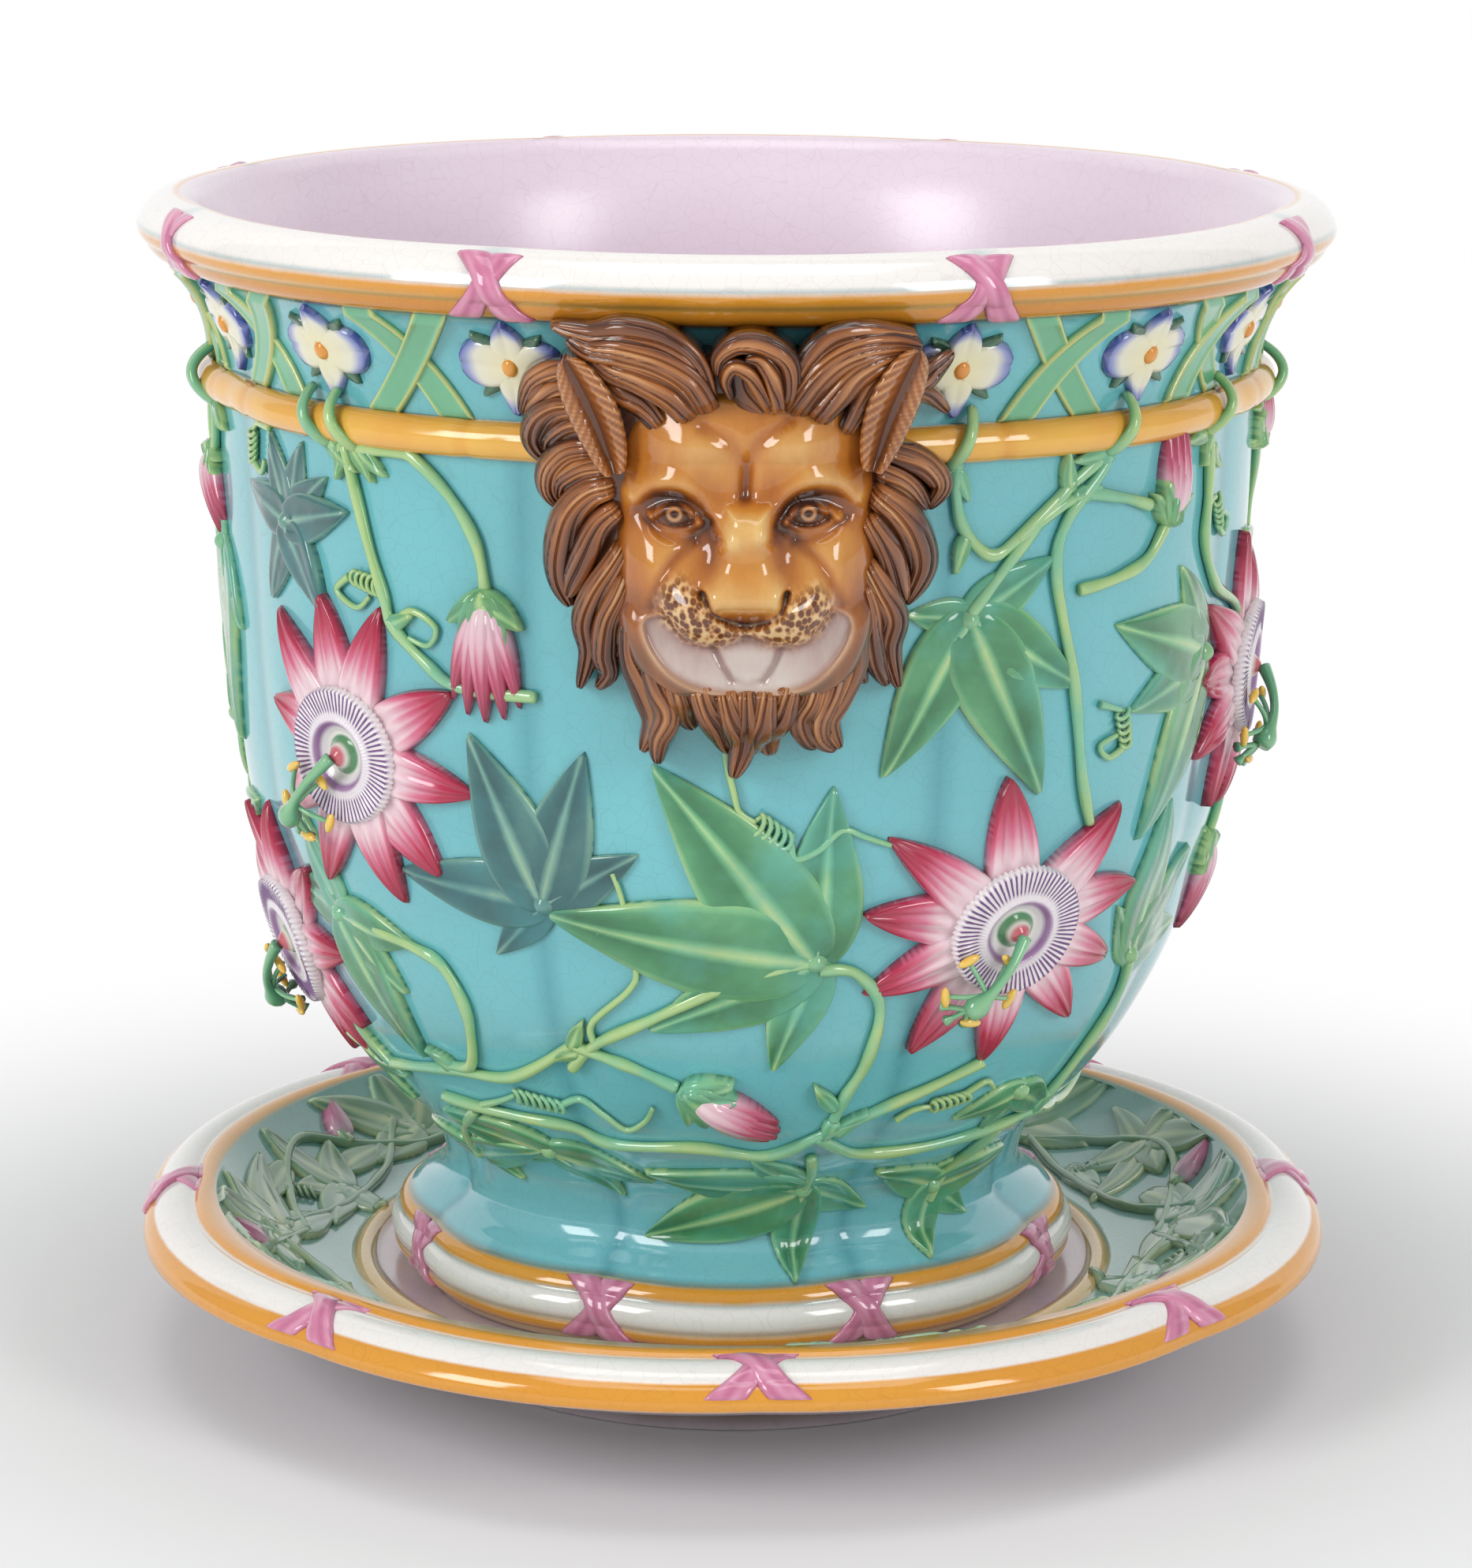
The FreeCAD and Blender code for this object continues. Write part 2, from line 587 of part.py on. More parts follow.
def mask_spot(across, up, relief):
    """Place on the mask, by its shares and the relief above the wall's lobe."""
    x = across * LION_WIDTH / 2
    own = WALL_RADIUS - LOBE_AXIS_OFFSET
    lean = max(0, up - MASK_LEAN_START_SHARE) / (1 - MASK_LEAN_START_SHARE) * (FRIEZE_TOP_RADIUS - WALL_RADIUS)
    out = LOBE_AXIS_OFFSET + math.sqrt(own * own - x * x) + relief * LION_RELIEF + lean
    return V(x, -out, LION_CENTRE_HEIGHT + up * LION_HEIGHT / 2)


def mound(outline, layers, middle, peak=1.0):
    """Raised form of stacked outlines, each drawn in towards the middle and lifted."""
    rings = []
    for scale, relief in layers:
        rings.append([mask_spot(middle[0] + scale * (x - middle[0]), middle[1] + scale * (z - middle[1]),
                                peak * relief) for x, z in outline])
    return tapered(rings)


def oval(across, up, width, height, peak):
    outline = [(across + x * width, up + z * height) for x, z in wheel(1, OVAL_SIDES)]
    return mound(outline, OVAL_LAYER_SHARES, (across, up), peak)


def lion_face():
    features = [mound(NOSE_OUTLINE_SHARES, NOSE_LAYER_SHARES, (0, -0.05))]
    features += [oval(*shares) for shares in OVAL_SHARES]
    return mound(FACE_OUTLINE_SHARES, FACE_LAYER_SHARES, (0, 0.1)).multiFuse(features)


def lion_mane():
    """Pleated form: each lock has a ridge that runs out to its tip, and a furrow on either side."""
    rings = []
    for scale, ridge, furrow in MANE_LAYER_SHARES:
        ring = []
        for index, tip in enumerate(LOCK_TIP_SHARES):
            past = LOCK_TIP_SHARES[(index + 1) % len(LOCK_TIP_SHARES)]
            notch = [LOCK_NOTCH_SHARE * (here + there) / 2 for here, there in zip(tip, past)]
            ring.append(mask_spot(scale * tip[0], scale * tip[1], ridge))
            ring.append(mask_spot(scale * notch[0], scale * notch[1], furrow))
        rings.append(ring)
    return tapered(rings).multiFuse([oval(*shares) for shares in EAR_SHARES])


def stand_leaves():
    """A leaf below each lobe of the rim, lying in the well."""
    spots = well_spots()[1:]
    inner = SEAT_RADIUS + SEAT_BEAD_WIDTH
    width = STAND_RIM_RADIUS - STAND_RIM_WIDTH - inner
    share, turn = STAND_LEAF_SHARES
    outline = blades(STAND_LEAF_LENGTH, turn, LEAF_BLADE_SHARES[1:4], LEAF_SHOULDER_SHARE, LEAF_NOTCH_SHARE)
    corners = [V(x, -inner - share * width + z, 0) for x, z in outline]
    prism = Part.Face(Part.makePolygon(corners + corners[:1])).extrude(UP * STAND_HEIGHT)
    azimuth = 180 / LOBES
    layer = patch(grown(spots, -STAND_LEAF_RELIEF), spots, azimuth, azimuth, round_ring)
    leaf = turned_to(prism, azimuth).common(layer)
    return all_round([leaf], [STAND_LOBE_TURN + 360 * lobe / LOBES for lobe in range(LOBES)])


def gathered(shapes):
    return Part.makeCompound([solid for shape in shapes for solid in shape.Solids])


def stand_nodes():
    return {"stand_dish": turned_to(stand_dish(), STAND_LOBE_TURN), "stand_leaves": gathered(stand_leaves())}


def mask_nodes():
    """Face and mane of the front mask, fitted to the pot and to each other."""
    backing = wall_backing(0, 180 / LOBES + FACET_TURN, LION_RELIEF / 2)
    face = lion_face()
    return [lion_mane().cut([backing, face]), face]


def foliage_nodes(masks):
    """Flowers first, then buds, leaves and vines, each giving way to what went before."""
    discs = coronas()
    petals = less(passion_flowers(), discs + masks)
    bud_solids = less(both_panels(buds(PANEL_BUD_SHARES)) + buds(SIDE_BUD_SHARES), petals + masks)
    fixed = discs + petals + masks + bud_solids
    leaf_solids = []
    for leaf in both_panels(leaves(PANEL_LEAF_SHARES)):
        leaf_solids += less([leaf], fixed + leaf_solids)
    vine_solids = []
    for stem in both_panels(vines()):
        vine_solids += less([stem], fixed + leaf_solids + vine_solids)
    return {"passion_flowers": gathered(petals), "coronas": gathered(discs),
            "stamen_columns": gathered(stamen_columns(discs)), "flower_buds": gathered(bud_solids),
            "palmate_leaves": gathered(leaf_solids), "climbing_vines": gathered(vine_solids)}


def pot_nodes():
    mane, face = mask_nodes()
    masks = both_panels([mane, face])
    nodes = {"pot_body": pot_body(), "cane_band": cane_band(), "lion_mane_front": mane, "lion_face_front": face,
             "lion_mane_back": masks[2], "lion_face_back": masks[3]}
    nodes["frieze_flowers"] = gathered(less(frieze_flowers(), masks))
    nodes.update(foliage_nodes(masks))
    return nodes


def main():
    os.makedirs("parts", exist_ok=True)
    nodes = stand_nodes()
    for name, shape in pot_nodes().items():
        nodes[name] = shape.translated(UP * SEAT_HEIGHT)
    for name, shape in nodes.items():
        shape.exportStep("parts/" + name + ".step")


main()
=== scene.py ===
import math

import bpy
import bmesh
import numpy as np
from mathutils import Matrix, Vector


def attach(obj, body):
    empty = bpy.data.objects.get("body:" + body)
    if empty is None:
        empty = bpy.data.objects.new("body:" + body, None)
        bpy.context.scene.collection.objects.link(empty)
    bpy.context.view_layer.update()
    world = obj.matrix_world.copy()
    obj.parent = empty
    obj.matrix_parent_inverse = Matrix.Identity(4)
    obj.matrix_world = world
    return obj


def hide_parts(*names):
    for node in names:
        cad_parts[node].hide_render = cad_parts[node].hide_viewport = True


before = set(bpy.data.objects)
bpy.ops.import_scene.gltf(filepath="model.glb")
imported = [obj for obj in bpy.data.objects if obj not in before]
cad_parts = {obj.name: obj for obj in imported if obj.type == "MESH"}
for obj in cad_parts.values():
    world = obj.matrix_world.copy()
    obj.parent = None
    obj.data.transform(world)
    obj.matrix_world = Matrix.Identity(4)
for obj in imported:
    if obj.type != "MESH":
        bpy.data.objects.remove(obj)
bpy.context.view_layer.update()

# Lengths below are millimetres, and this turns them into the frame's metres.
MM = 0.001
TAU = 2 * math.pi

# Camera of the photograph
CAMERA_PLACE = (0.0, -1.8353, 0.65398)
CAMERA_PITCH = 13.18
CAMERA_ROLL = 0.30
CAMERA_LENS = 109.6
CAMERA_SHIFT = 0.0014

# Sizes shared with the solids
LOBES = 8
LOBE_TURN = 360.0 / LOBES
HALF_LOBE = LOBE_TURN / 2
LOBE_AXIS = 40.0
STAND_TURN = 25.0
SEAT = 32.5

# Middle of the cane band, softness of the valleys between lobes, and the step of the skins in degrees
CANE_MIDDLE = 357.0
CREASE = 0.35
SKIN_STEP = 1.125


# Small helpers ----------------------------------------------------------------

def within_lobe(az):
    """Azimuth counted from the middle of the nearest lobe."""
    return (az + HALF_LOBE) % LOBE_TURN - HALF_LOBE


def bell(x, middle, width):
    """Bell curve of height one."""
    return np.exp(-((x - middle) / width) ** 2)


def domed(v, power):
    """One in the middle and nought at both edges, and flatter on top for a higher power."""
    return np.sqrt(np.clip(1 - v ** power, 0, 1))


def shares(n, m):
    """Shares along a form, from nought to one, and across it, from minus one to one."""
    return np.linspace(0, 1, n)[:, None], np.linspace(-1, 1, m)[None, :]


def unit(v):
    return v / np.maximum(np.linalg.norm(v, axis=-1, keepdims=True), 1e-9)


def aimed(place, turn):
    """A placing function with its x aimed at an angle from the right, counted upwards."""
    c, s = math.cos(math.radians(turn)), math.sin(math.radians(turn))
    return lambda x, y, h: place(x * c - y * s, x * s + y * c, h)


# Profiles ---------------------------------------------------------------------

def arc(start, end, bow, steps):
    """Arc from start to end that bulges to the left of its chord by bow times its length, start left out."""
    half = 2 * math.atan(2 * bow)
    a, b = complex(*start), complex(*end)
    if abs(half) < 1e-6:
        t = np.linspace(0, 1, steps + 1)[1:]
        z = a + (b - a) * t
    else:
        centre = (a + b) / 2 + (b - a) * -1j / (2 * math.tan(half))
        z = centre + (a - centre) * np.exp(-2j * half * np.linspace(0, 1, steps + 1)[1:])
    return [(p.real, p.imag) for p in z]


def curve(points, steps):
    """Catmull-Rom curve through the points, start left out: each run is a cubic of the four nearest."""
    p = np.array([points[0]] + list(points) + [points[-1]], float)
    t = np.linspace(0, 1, steps + 1)[1:, None]
    out = []
    for a, b, c, d in zip(p, p[1:], p[2:], p[3:]):
        out.append(0.5 * (2 * b + (c - a) * t + (2 * a - 5 * b + 4 * c - d) * t ** 2
                          + (3 * b - a - 3 * c + d) * t ** 3))
    return [tuple(q) for q in np.concatenate(out)]


def smooth_line(points, steps=6):
    return np.array([points[0]] + curve(points, steps))


class Turned:
    """A lobed turned surface: its profile's radius and height by the length run along it."""

    def __init__(self, spots, lift, turn, face=1.0):
        self.rz = np.array(spots, float)
        step = np.hypot(*np.diff(self.rz, axis=0).T)
        self.run = np.concatenate([[0], np.cumsum(step)])
        self.lift = lift
        self.turn = turn
        self.face = face

    def base(self, az, s, round_share=0.0):
        """Point by azimuth: of two neighbouring lobe circles the farther, eased where they cross."""
        r = np.interp(s, self.run, self.rz[:, 0])
        z = np.interp(s, self.run, self.rz[:, 1])
        phi = np.radians(within_lobe(az - self.turn))
        own = np.maximum(r - LOBE_AXIS, 1.0)
        first, second = (LOBE_AXIS * np.cos(t) + np.sqrt(np.maximum(own ** 2 - (LOBE_AXIS * np.sin(t)) ** 2, 0))
                         for t in (phi, np.radians(LOBE_TURN) - np.abs(phi)))
        lobed = np.maximum(first, second) + CREASE * np.log1p(np.exp(-np.abs(first - second) / CREASE))
        rho = lobed + (r - lobed) * round_share
        a = np.radians(az)
        return np.stack([rho * np.sin(a), -rho * np.cos(a), z + self.lift + 0 * rho], -1)

    def at(self, az, s, h=0.0, round_share=0.0):
        """Point at azimuth and run, standing off along the normal by h."""
        az, s, h = np.broadcast_arrays(np.asarray(az, float), np.asarray(s, float), np.asarray(h, float))
        p = self.base(az, s, round_share)
        da = self.base(az + 0.5, s, round_share) - self.base(az - 0.5, s, round_share)
        ds = self.base(az, s + 1.2, round_share) - self.base(az, s - 1.2, round_share)
        return p + unit(np.cross(ds, da) * self.face) * h[..., None]

    def run_at(self, z, first=0, last=None):
        """Length run to a height, searched between two spots of the profile."""
        zs, rs = self.rz[first:last, 1], self.run[first:last]
        order = np.argsort(zs)
        return np.interp(z, zs[order], rs[order])

    def radius(self, s):
        return np.interp(s, self.run, self.rz[:, 0])


# Spots of the rim's profile where its roll and its first reed end
ROLL_END = 14
REED_END = ROLL_END + 8
RIM = [(213, 427)]
RIM += arc((213, 427), (229.5, 415.8), 0.2, ROLL_END)
RIM += arc((229.5, 415.8), (226.5, 409), 0.17, REED_END - ROLL_END)
RIM += arc((226.5, 409), (218, 402), 0.17, 8)
FRIEZE = arc((218, 402), (201, 364.5), -0.116, 14)
WALL = [(201, 349.5)] + curve([(201, 349.5), (196.9, 257.3), (191.4, 201), (184, 172), (175.9, 142),
                               (164.5, 116.9), (151, 94.5), (134.5, 74.6), (121.7, 62.5), (115.5, 46.5),
                               (117.2, 37.1), (127, 30), (129, 27.5)], 8)
FOOT = arc((129, 27.5), (134, 21.2), 0.2, 6) + arc((134, 21.2), (136, 10.3), 0.2, 8)
FOOT += arc((136, 10.3), (133, 3.7), 0.2, 6) + [(130, 0)]
OUTSIDE = RIM + FRIEZE + WALL + FOOT
POT = Turned(OUTSIDE, SEAT, 0)
WALL_FIRST = len(RIM) + len(FRIEZE)
WALL_LAST = WALL_FIRST + len(WALL)
RUN_RIM_FOOT = POT.run[len(RIM) - 1]
RUN_FRIEZE_FOOT = POT.run[WALL_FIRST - 1]
RUN_WALL = POT.run[WALL_FIRST]
RUN_WALL_FOOT = POT.run[WALL_LAST - 1]
RUN_END = POT.run[-1]
# Where the reeds of the foot meet, counted in spots from the end of the wall
FOOT_CREASES = [POT.run[WALL_LAST - 1 + count] for count in (0, 6, 14, 20)]
CREASES = [POT.run[ROLL_END], POT.run[REED_END], RUN_RIM_FOOT] + FOOT_CREASES
# The rolled-out drawing of the wall counts its heights from here
DRAWING_FOOT = 16.5


def wall_run(z_rel):
    """Run to a height on the wall, counted as in the rolled-out drawing from the stand's widest ring."""
    return POT.run_at(np.asarray(z_rel, float) + DRAWING_FOOT, WALL_FIRST, WALL_LAST)


def wall_at(az, z_rel, x, y, h):
    """Place on the wall: x millimetres round it and y up it from a spot, h off it."""
    s0 = wall_run(z_rel)
    s = s0 - y
    return POT.at(az + np.degrees(x / POT.radius(s0)), s, h)


# Mesh making ------------------------------------------------------------------

class Clay:
    """Gathers grids and tubes with their glaze values, then makes them one mesh."""

    def __init__(self):
        self.points, self.faces, self.tone, self.pool, self.uv = [], [], [], [], []
        self.count = 0

    def grid(self, p, tone=0.5, pool=0.5, uv=None, wrap_u=False, wrap_v=False, turn=False):
        """Quads over a grid of points: tone and pool are the glaze values at each, pool mostly painted shade.
        """
        n, m = p.shape[:2]
        i = np.arange(n if wrap_u else n - 1)[:, None]
        j = np.arange(m if wrap_v else m - 1)[None, :]
        i2, j2 = (i + 1) % n, (j + 1) % m
        quads = np.stack([i * m + j, i2 * m + j, i2 * m + j2, i * m + j2], -1).reshape(-1, 4)
        if turn:
            quads = quads[:, ::-1]
        self.faces.append(quads + self.count)
        self.points.append(p.reshape(-1, 3))
        self.tone.append(np.broadcast_to(tone, (n, m)).reshape(-1))
        self.pool.append(np.broadcast_to(pool, (n, m)).reshape(-1))
        flat = 0.0 if uv is None else np.stack(np.broadcast_arrays(uv[0], uv[1]), -1)
        self.uv.append((flat + np.zeros((n, m, 2))).reshape(-1, 2))
        self.count += n * m
        return self

    def copy_turned(self, azimuth):
        """The same mesh turned round the pot's axis."""
        a = math.radians(azimuth)
        m = np.array([[math.cos(a), -math.sin(a), 0], [math.sin(a), math.cos(a), 0], [0, 0, 1]])
        new = Clay()
        new.points = [p @ m.T for p in self.points]
        new.faces, new.tone = list(self.faces), list(self.tone)
        new.pool, new.uv = list(self.pool), list(self.uv)
        new.count = self.count
        return new

    def make(self, name, material, body, nodes=(), slot=None):
        points = np.concatenate(self.points) * MM
        faces = np.concatenate(self.faces)
        mesh = bpy.data.meshes.new(name)
        mesh.from_pydata(points.tolist(), [], faces.tolist())
        for label, values in (("tone", self.tone), ("pool", self.pool)):
            layer = mesh.attributes.new(label, 'FLOAT', 'POINT')
            layer.data.foreach_set("value", np.concatenate(values).astype(np.float32))
        uv = np.concatenate(self.uv)
        loops = np.empty(len(mesh.loops), dtype=np.int32)
        mesh.loops.foreach_get("vertex_index", loops)
        mesh.uv_layers.new(name="Chart").data.foreach_set("uv", uv[loops].astype(np.float32).ravel())
        bm = bmesh.new()
        bm.from_mesh(mesh)
        bmesh.ops.remove_doubles(bm, verts=bm.verts, dist=2e-6)
        bmesh.ops.recalc_face_normals(bm, faces=bm.faces)
        bm.to_mesh(mesh)
        bm.free()
        mesh.polygons.foreach_set("use_smooth", np.ones(len(mesh.polygons), dtype=bool))
        mesh.materials.append(material)
        piece = bpy.data.objects.new(name, mesh)
        bpy.context.scene.collection.objects.link(piece)
        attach(piece, body)
        if nodes:
            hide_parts(*nodes)


# Glazes -----------------------------------------------------------------------

def nodes_of(name):
    material = bpy.data.materials.new(name)
    material.use_nodes = True
    tree = material.node_tree
    return material, tree, tree.nodes["Principled BSDF"]


def add(tree, kind, **values):
    """A new node, with its settings and the values of its sockets by their names."""
    node = tree.nodes.new(kind)
    for key, value in values.items():
        if hasattr(node, key):
            setattr(node, key, value)
        else:
            node.inputs[key.replace("_", " ")].default_value = value
    return node


def ramp(tree, source, stops):
    node = tree.nodes.new("ShaderNodeValToRGB")
    band = node.color_ramp.elements
    while len(band) > 1:
        band.remove(band[-1])
    band[0].position, band[0].color = stops[0][0], (*stops[0][1], 1)
    for place, colour in stops[1:]:
        spot = band.new(place)
        spot.color = (*colour, 1)
    tree.links.new(source, node.inputs[0])
    return node.outputs[0]


def value_of(tree, label):
    return add(tree, "ShaderNodeAttribute", attribute_name=label).outputs["Fac"]


def place_of(tree, scale=1.0):
    coords = add(tree, "ShaderNodeTexCoord").outputs["Object"]
    if scale == 1.0:
        return coords
    node = add(tree, "ShaderNodeMapping")
    node.inputs["Scale"].default_value = scale if isinstance(scale, tuple) else (scale,) * 3
    tree.links.new(coords, node.inputs["Vector"])
    return node.outputs[0]


def noise(tree, scale, detail=4.0, stretch=1.0, rough=0.55):
    node = add(tree, "ShaderNodeTexNoise", Scale=scale, Detail=detail, Roughness=rough)
    tree.links.new(place_of(tree, stretch), node.inputs["Vector"])
    return node.outputs["Fac"]


def blend(tree, factor, a, b, mode='MIX'):
    node = add(tree, "ShaderNodeMix", data_type='RGBA', blend_type=mode)
    for socket, item in ((node.inputs[0], factor), (node.inputs[6], a), (node.inputs[7], b)):
        if isinstance(item, bpy.types.NodeSocket):
            tree.links.new(item, socket)
        elif isinstance(item, (int, float)):
            socket.default_value = item
        else:
            socket.default_value = (*item, 1)
    return node.outputs[2]


def maths(tree, operation, a, b=0.0, c=0.0):
    node = add(tree, "ShaderNodeMath", operation=operation)
    for socket, item in zip(node.inputs, (a, b, c)):
        if isinstance(item, bpy.types.NodeSocket):
            tree.links.new(item, socket)
        else:
            socket.default_value = item
    return node.outputs[0]


def centred(tree, cloud, amount):
    """Unevenness about nought from a noise about a half."""
    return maths(tree, 'MULTIPLY', maths(tree, 'SUBTRACT', cloud, 0.5), amount)


def chart_axes(tree):
    split = add(tree, "ShaderNodeSeparateXYZ")
    tree.links.new(add(tree, "ShaderNodeUVMap", uv_map="Chart").outputs[0], split.inputs[0])
    return split.outputs[0], split.outputs[1]


def gloss(tree, shader, colour, roughness, waves):
    """Finishes a glaze: gloss under a clear coat, and a skin that is never quite even."""
    tree.links.new(colour, shader.inputs["Base Color"])
    shader.inputs["Roughness"].default_value = roughness
    shader.inputs["Coat Weight"].default_value = 0.5
    shader.inputs["Coat Roughness"].default_value = 0.06
    shader.inputs["IOR"].default_value = 1.5
    swell = noise(tree, 55.0, 2.0)
    bump = add(tree, "ShaderNodeBump", Strength=waves, Distance=0.0012)
    tree.links.new(swell, bump.inputs["Height"])
    for socket in ("Normal", "Coat Normal"):
        tree.links.new(bump.outputs[0], shader.inputs[socket])


def srgb(r, g, b):
    """Colour of the glaze as it is seen, from 0 to 255, turned into light values."""
    c = np.array([r, g, b]) / 255.0
    return tuple(np.where(c <= 0.04045, c / 12.92, ((c + 0.055) / 1.055) ** 2.4))


def paints(*rows):
    """Stops of a ramp from rows of a place and a colour as it is seen."""
    return [(place, srgb(r, g, b)) for place, r, g, b in rows]


def mottle(tree, colour, amount, scale):
    """Cloudy unevenness of a brushed and pooled glaze, darker and lighter than its colour."""
    cloud = ramp(tree, noise(tree, scale, 5.0), [(0.3, (0.42, 0.42, 0.42)), (0.7, (0.58, 0.58, 0.58))])
    return blend(tree, amount * 2, colour, cloud, 'OVERLAY')


def relief_glaze(name, rows, pool_shade_dark=(0.5, 0.5, 0.5), scale=30.0, amount=0.22, waves=0.15, bleed=None):
    """Glaze of a relief piece: tone picks its colour, and pool darkens it as painted shade in furrows and
    hollows.
    """
    material, tree, shader = nodes_of(name)
    tone = value_of(tree, "tone")
    drift = centred(tree, noise(tree, scale * 2, 4.0), 0.16)
    colour = ramp(tree, maths(tree, 'ADD', tone, drift), paints(*rows))
    if bleed:
        drops = ramp(tree, noise(tree, 24.0, 4.0), [(0.46, (0, 0, 0)), (0.64, (0.75, 0.75, 0.75))])
        colour = blend(tree, drops, colour, srgb(*bleed))
    colour = mottle(tree, colour, amount, scale)
    shade = ramp(tree, value_of(tree, "pool"), [(0.0, pool_shade_dark), (0.5, (1, 1, 1)), (1.0, (1.0, 1.0, 1.0))])
    colour = blend(tree, 1.0, colour, shade, 'MULTIPLY')
    gloss(tree, shader, colour, 0.14, waves)
    return material


# Pot --------------------------------------------------------------------------

WHITE = srgb(240, 236, 232)
OCHRE = srgb(224, 154, 50)
OCHRE_PALE = srgb(240, 200, 118)
TURQUOISE = srgb(112, 190, 198)
TURQUOISE_DEEP = srgb(74, 158, 172)


def chart_of(run):
    """Height in the chart for a run down the pot."""
    return 0.1 + 0.8 * run / RUN_END


def chart_over(az, along):
    """Chart of a turned skin: the share of a turn, and what runs along it."""
    return az / 360, along + 0 * az


def round_rings(az, spots, lift=0.0):
    """Plain round rings at the radius and height of each spot."""
    a, rz = np.radians(az), np.array(spots)[None]
    rho = rz[..., 0] + 0 * a
    return np.stack([rho * np.sin(a), -rho * np.cos(a), rz[..., 1] + lift + 0 * rho], -1)


def pot_shell():
    """Pot in one skin: lobed outside from crest to base, round inside, and the recess under the floor."""
    az = np.arange(0, 360, SKIN_STEP)[:, None]
    clay = Clay()
    runs = np.concatenate([np.linspace(0, RUN_RIM_FOOT, 52), np.linspace(RUN_RIM_FOOT, RUN_WALL, 24)[1:],
                           np.linspace(RUN_WALL, RUN_WALL_FOOT, 96)[1:],
                           np.linspace(RUN_WALL_FOOT, RUN_END, 44)[1:]])[None, :]
    p = POT.at(az, runs, -0.5)
    valley = np.abs(within_lobe(az))
    crease_shade = sum(bell(runs, crease, 0.9) for crease in CREASES)
    # Painted shade: the pool value darkens the skin along the valleys between lobes and along the creases
    # between reeds.
    pool = np.clip(0.5 - 0.25 * bell(valley, HALF_LOBE, 1.5) - 0.3 * crease_shade, 0, 1)
    clay.grid(p, 0.5, pool, chart_over(az, chart_of(runs)), wrap_u=True)
    top = POT.at(az, np.array([[0.0]]), -0.5)[:, 0]
    inside = [(208.2, 425.6), (205.5, 421)] + [(r, z) for r, z in curve(
        [(205.5, 421), (193, 380), (187.5, 262), (180, 204), (173, 176), (163, 147), (151, 121), (130, 92),
         (112, 76), (95.5, 66.6)], 6)] + [(80, 66.2), (40, 66.1), (1, 66.1)]
    inner = np.concatenate([top[:, None], round_rings(az, inside, SEAT)], 1)
    clay.grid(inner, 0.5, 0.5, chart_over(az, np.linspace(0.06, 0.0, inner.shape[1])[None, :]), wrap_u=True)
    under = round_rings(az, [(116, 0.3), (105.5, 27), (90, 53.7), (60, 53.8), (1, 53.8)], SEAT)
    low = np.concatenate([p[:, -1:], under], 1)
    clay.grid(low, 0.5, 0.5, chart_over(az, np.linspace(0.9, 1.0, low.shape[1])[None, :]), wrap_u=True)
    return clay


def painted(bands, edge):
    """Stops of a ramp for flat bands of colour: each runs up to its limit, with a short edge to the next."""
    stops = []
    for (limit, colour), (_, after) in zip(bands, bands[1:]):
        stops += [(limit - edge, colour), (limit + edge, after)]
    return [(0.0, bands[0][1])] + stops


def pot_stops():
    reeds = [chart_of(v) for v in (2.2, POT.run[ROLL_END] + 0.6, POT.run[REED_END], RUN_RIM_FOOT)]
    foot = [chart_of(v) for v in FOOT_CREASES]
    inside = [(0.0, srgb(220, 206, 222)), (0.02, srgb(224, 206, 222)), (0.055, srgb(230, 214, 226))]
    rim = painted([(0.088, srgb(232, 212, 228)), (reeds[0], OCHRE), (reeds[1], WHITE),
                   (reeds[2] - 0.001, OCHRE), (reeds[2] + 0.0015, OCHRE_PALE), (reeds[3], srgb(210, 138, 40)),
                   (0.5, TURQUOISE_DEEP)], 0.0008)[1:]
    wall = [(reeds[3] + 0.012, TURQUOISE), (chart_of(wall_run(90)), TURQUOISE),
            (chart_of(wall_run(12)), srgb(124, 194, 204))]
    base = painted([(foot[0], srgb(100, 178, 190)), (foot[1], OCHRE), (foot[2], WHITE), (foot[3], OCHRE),
                    (0.905, srgb(206, 178, 140)), (0.94, srgb(214, 200, 222))], 0.0008)[1:]
    return inside + rim + wall + base


def ring_glaze(name, stops, wobble, dull_to):
    """Glazes painted in rings: up to thirty-two colours, picked by the run held in the chart."""
    material, tree, shader = nodes_of(name)
    along = maths(tree, 'ADD', chart_axes(tree)[1], centred(tree, noise(tree, 70.0, 3.0), wobble))
    colour = mottle(tree, ramp(tree, along, stops), 0.13, 16.0)
    # Painted shade: the pool value darkens the glaze towards grey blue along valleys and creases.
    shade = ramp(tree, value_of(tree, "pool"), [(0.0, srgb(150, 190, 200)), (0.5, (1, 1, 1))])
    colour = blend(tree, 1.0, colour, shade, 'MULTIPLY')
    cell = add(tree, "ShaderNodeTexVoronoi", feature='DISTANCE_TO_EDGE', Scale=150.0)
    tree.links.new(place_of(tree), cell.inputs["Vector"])
    crack = ramp(tree, cell.outputs["Distance"], [(0.0, (0.78, 0.74, 0.70)), (0.035, (1, 1, 1))])
    colour = blend(tree, 0.35, colour, crack, 'MULTIPLY')
    gloss(tree, shader, colour, 0.12, 0.1)
    dull = ramp(tree, along, [(dull_to, (0.3, 0.3, 0.3)), (dull_to + 0.035, (0.1, 0.1, 0.1))])
    for socket in ("Roughness", "Coat Roughness"):
        tree.links.new(dull, shader.inputs[socket])
    return material


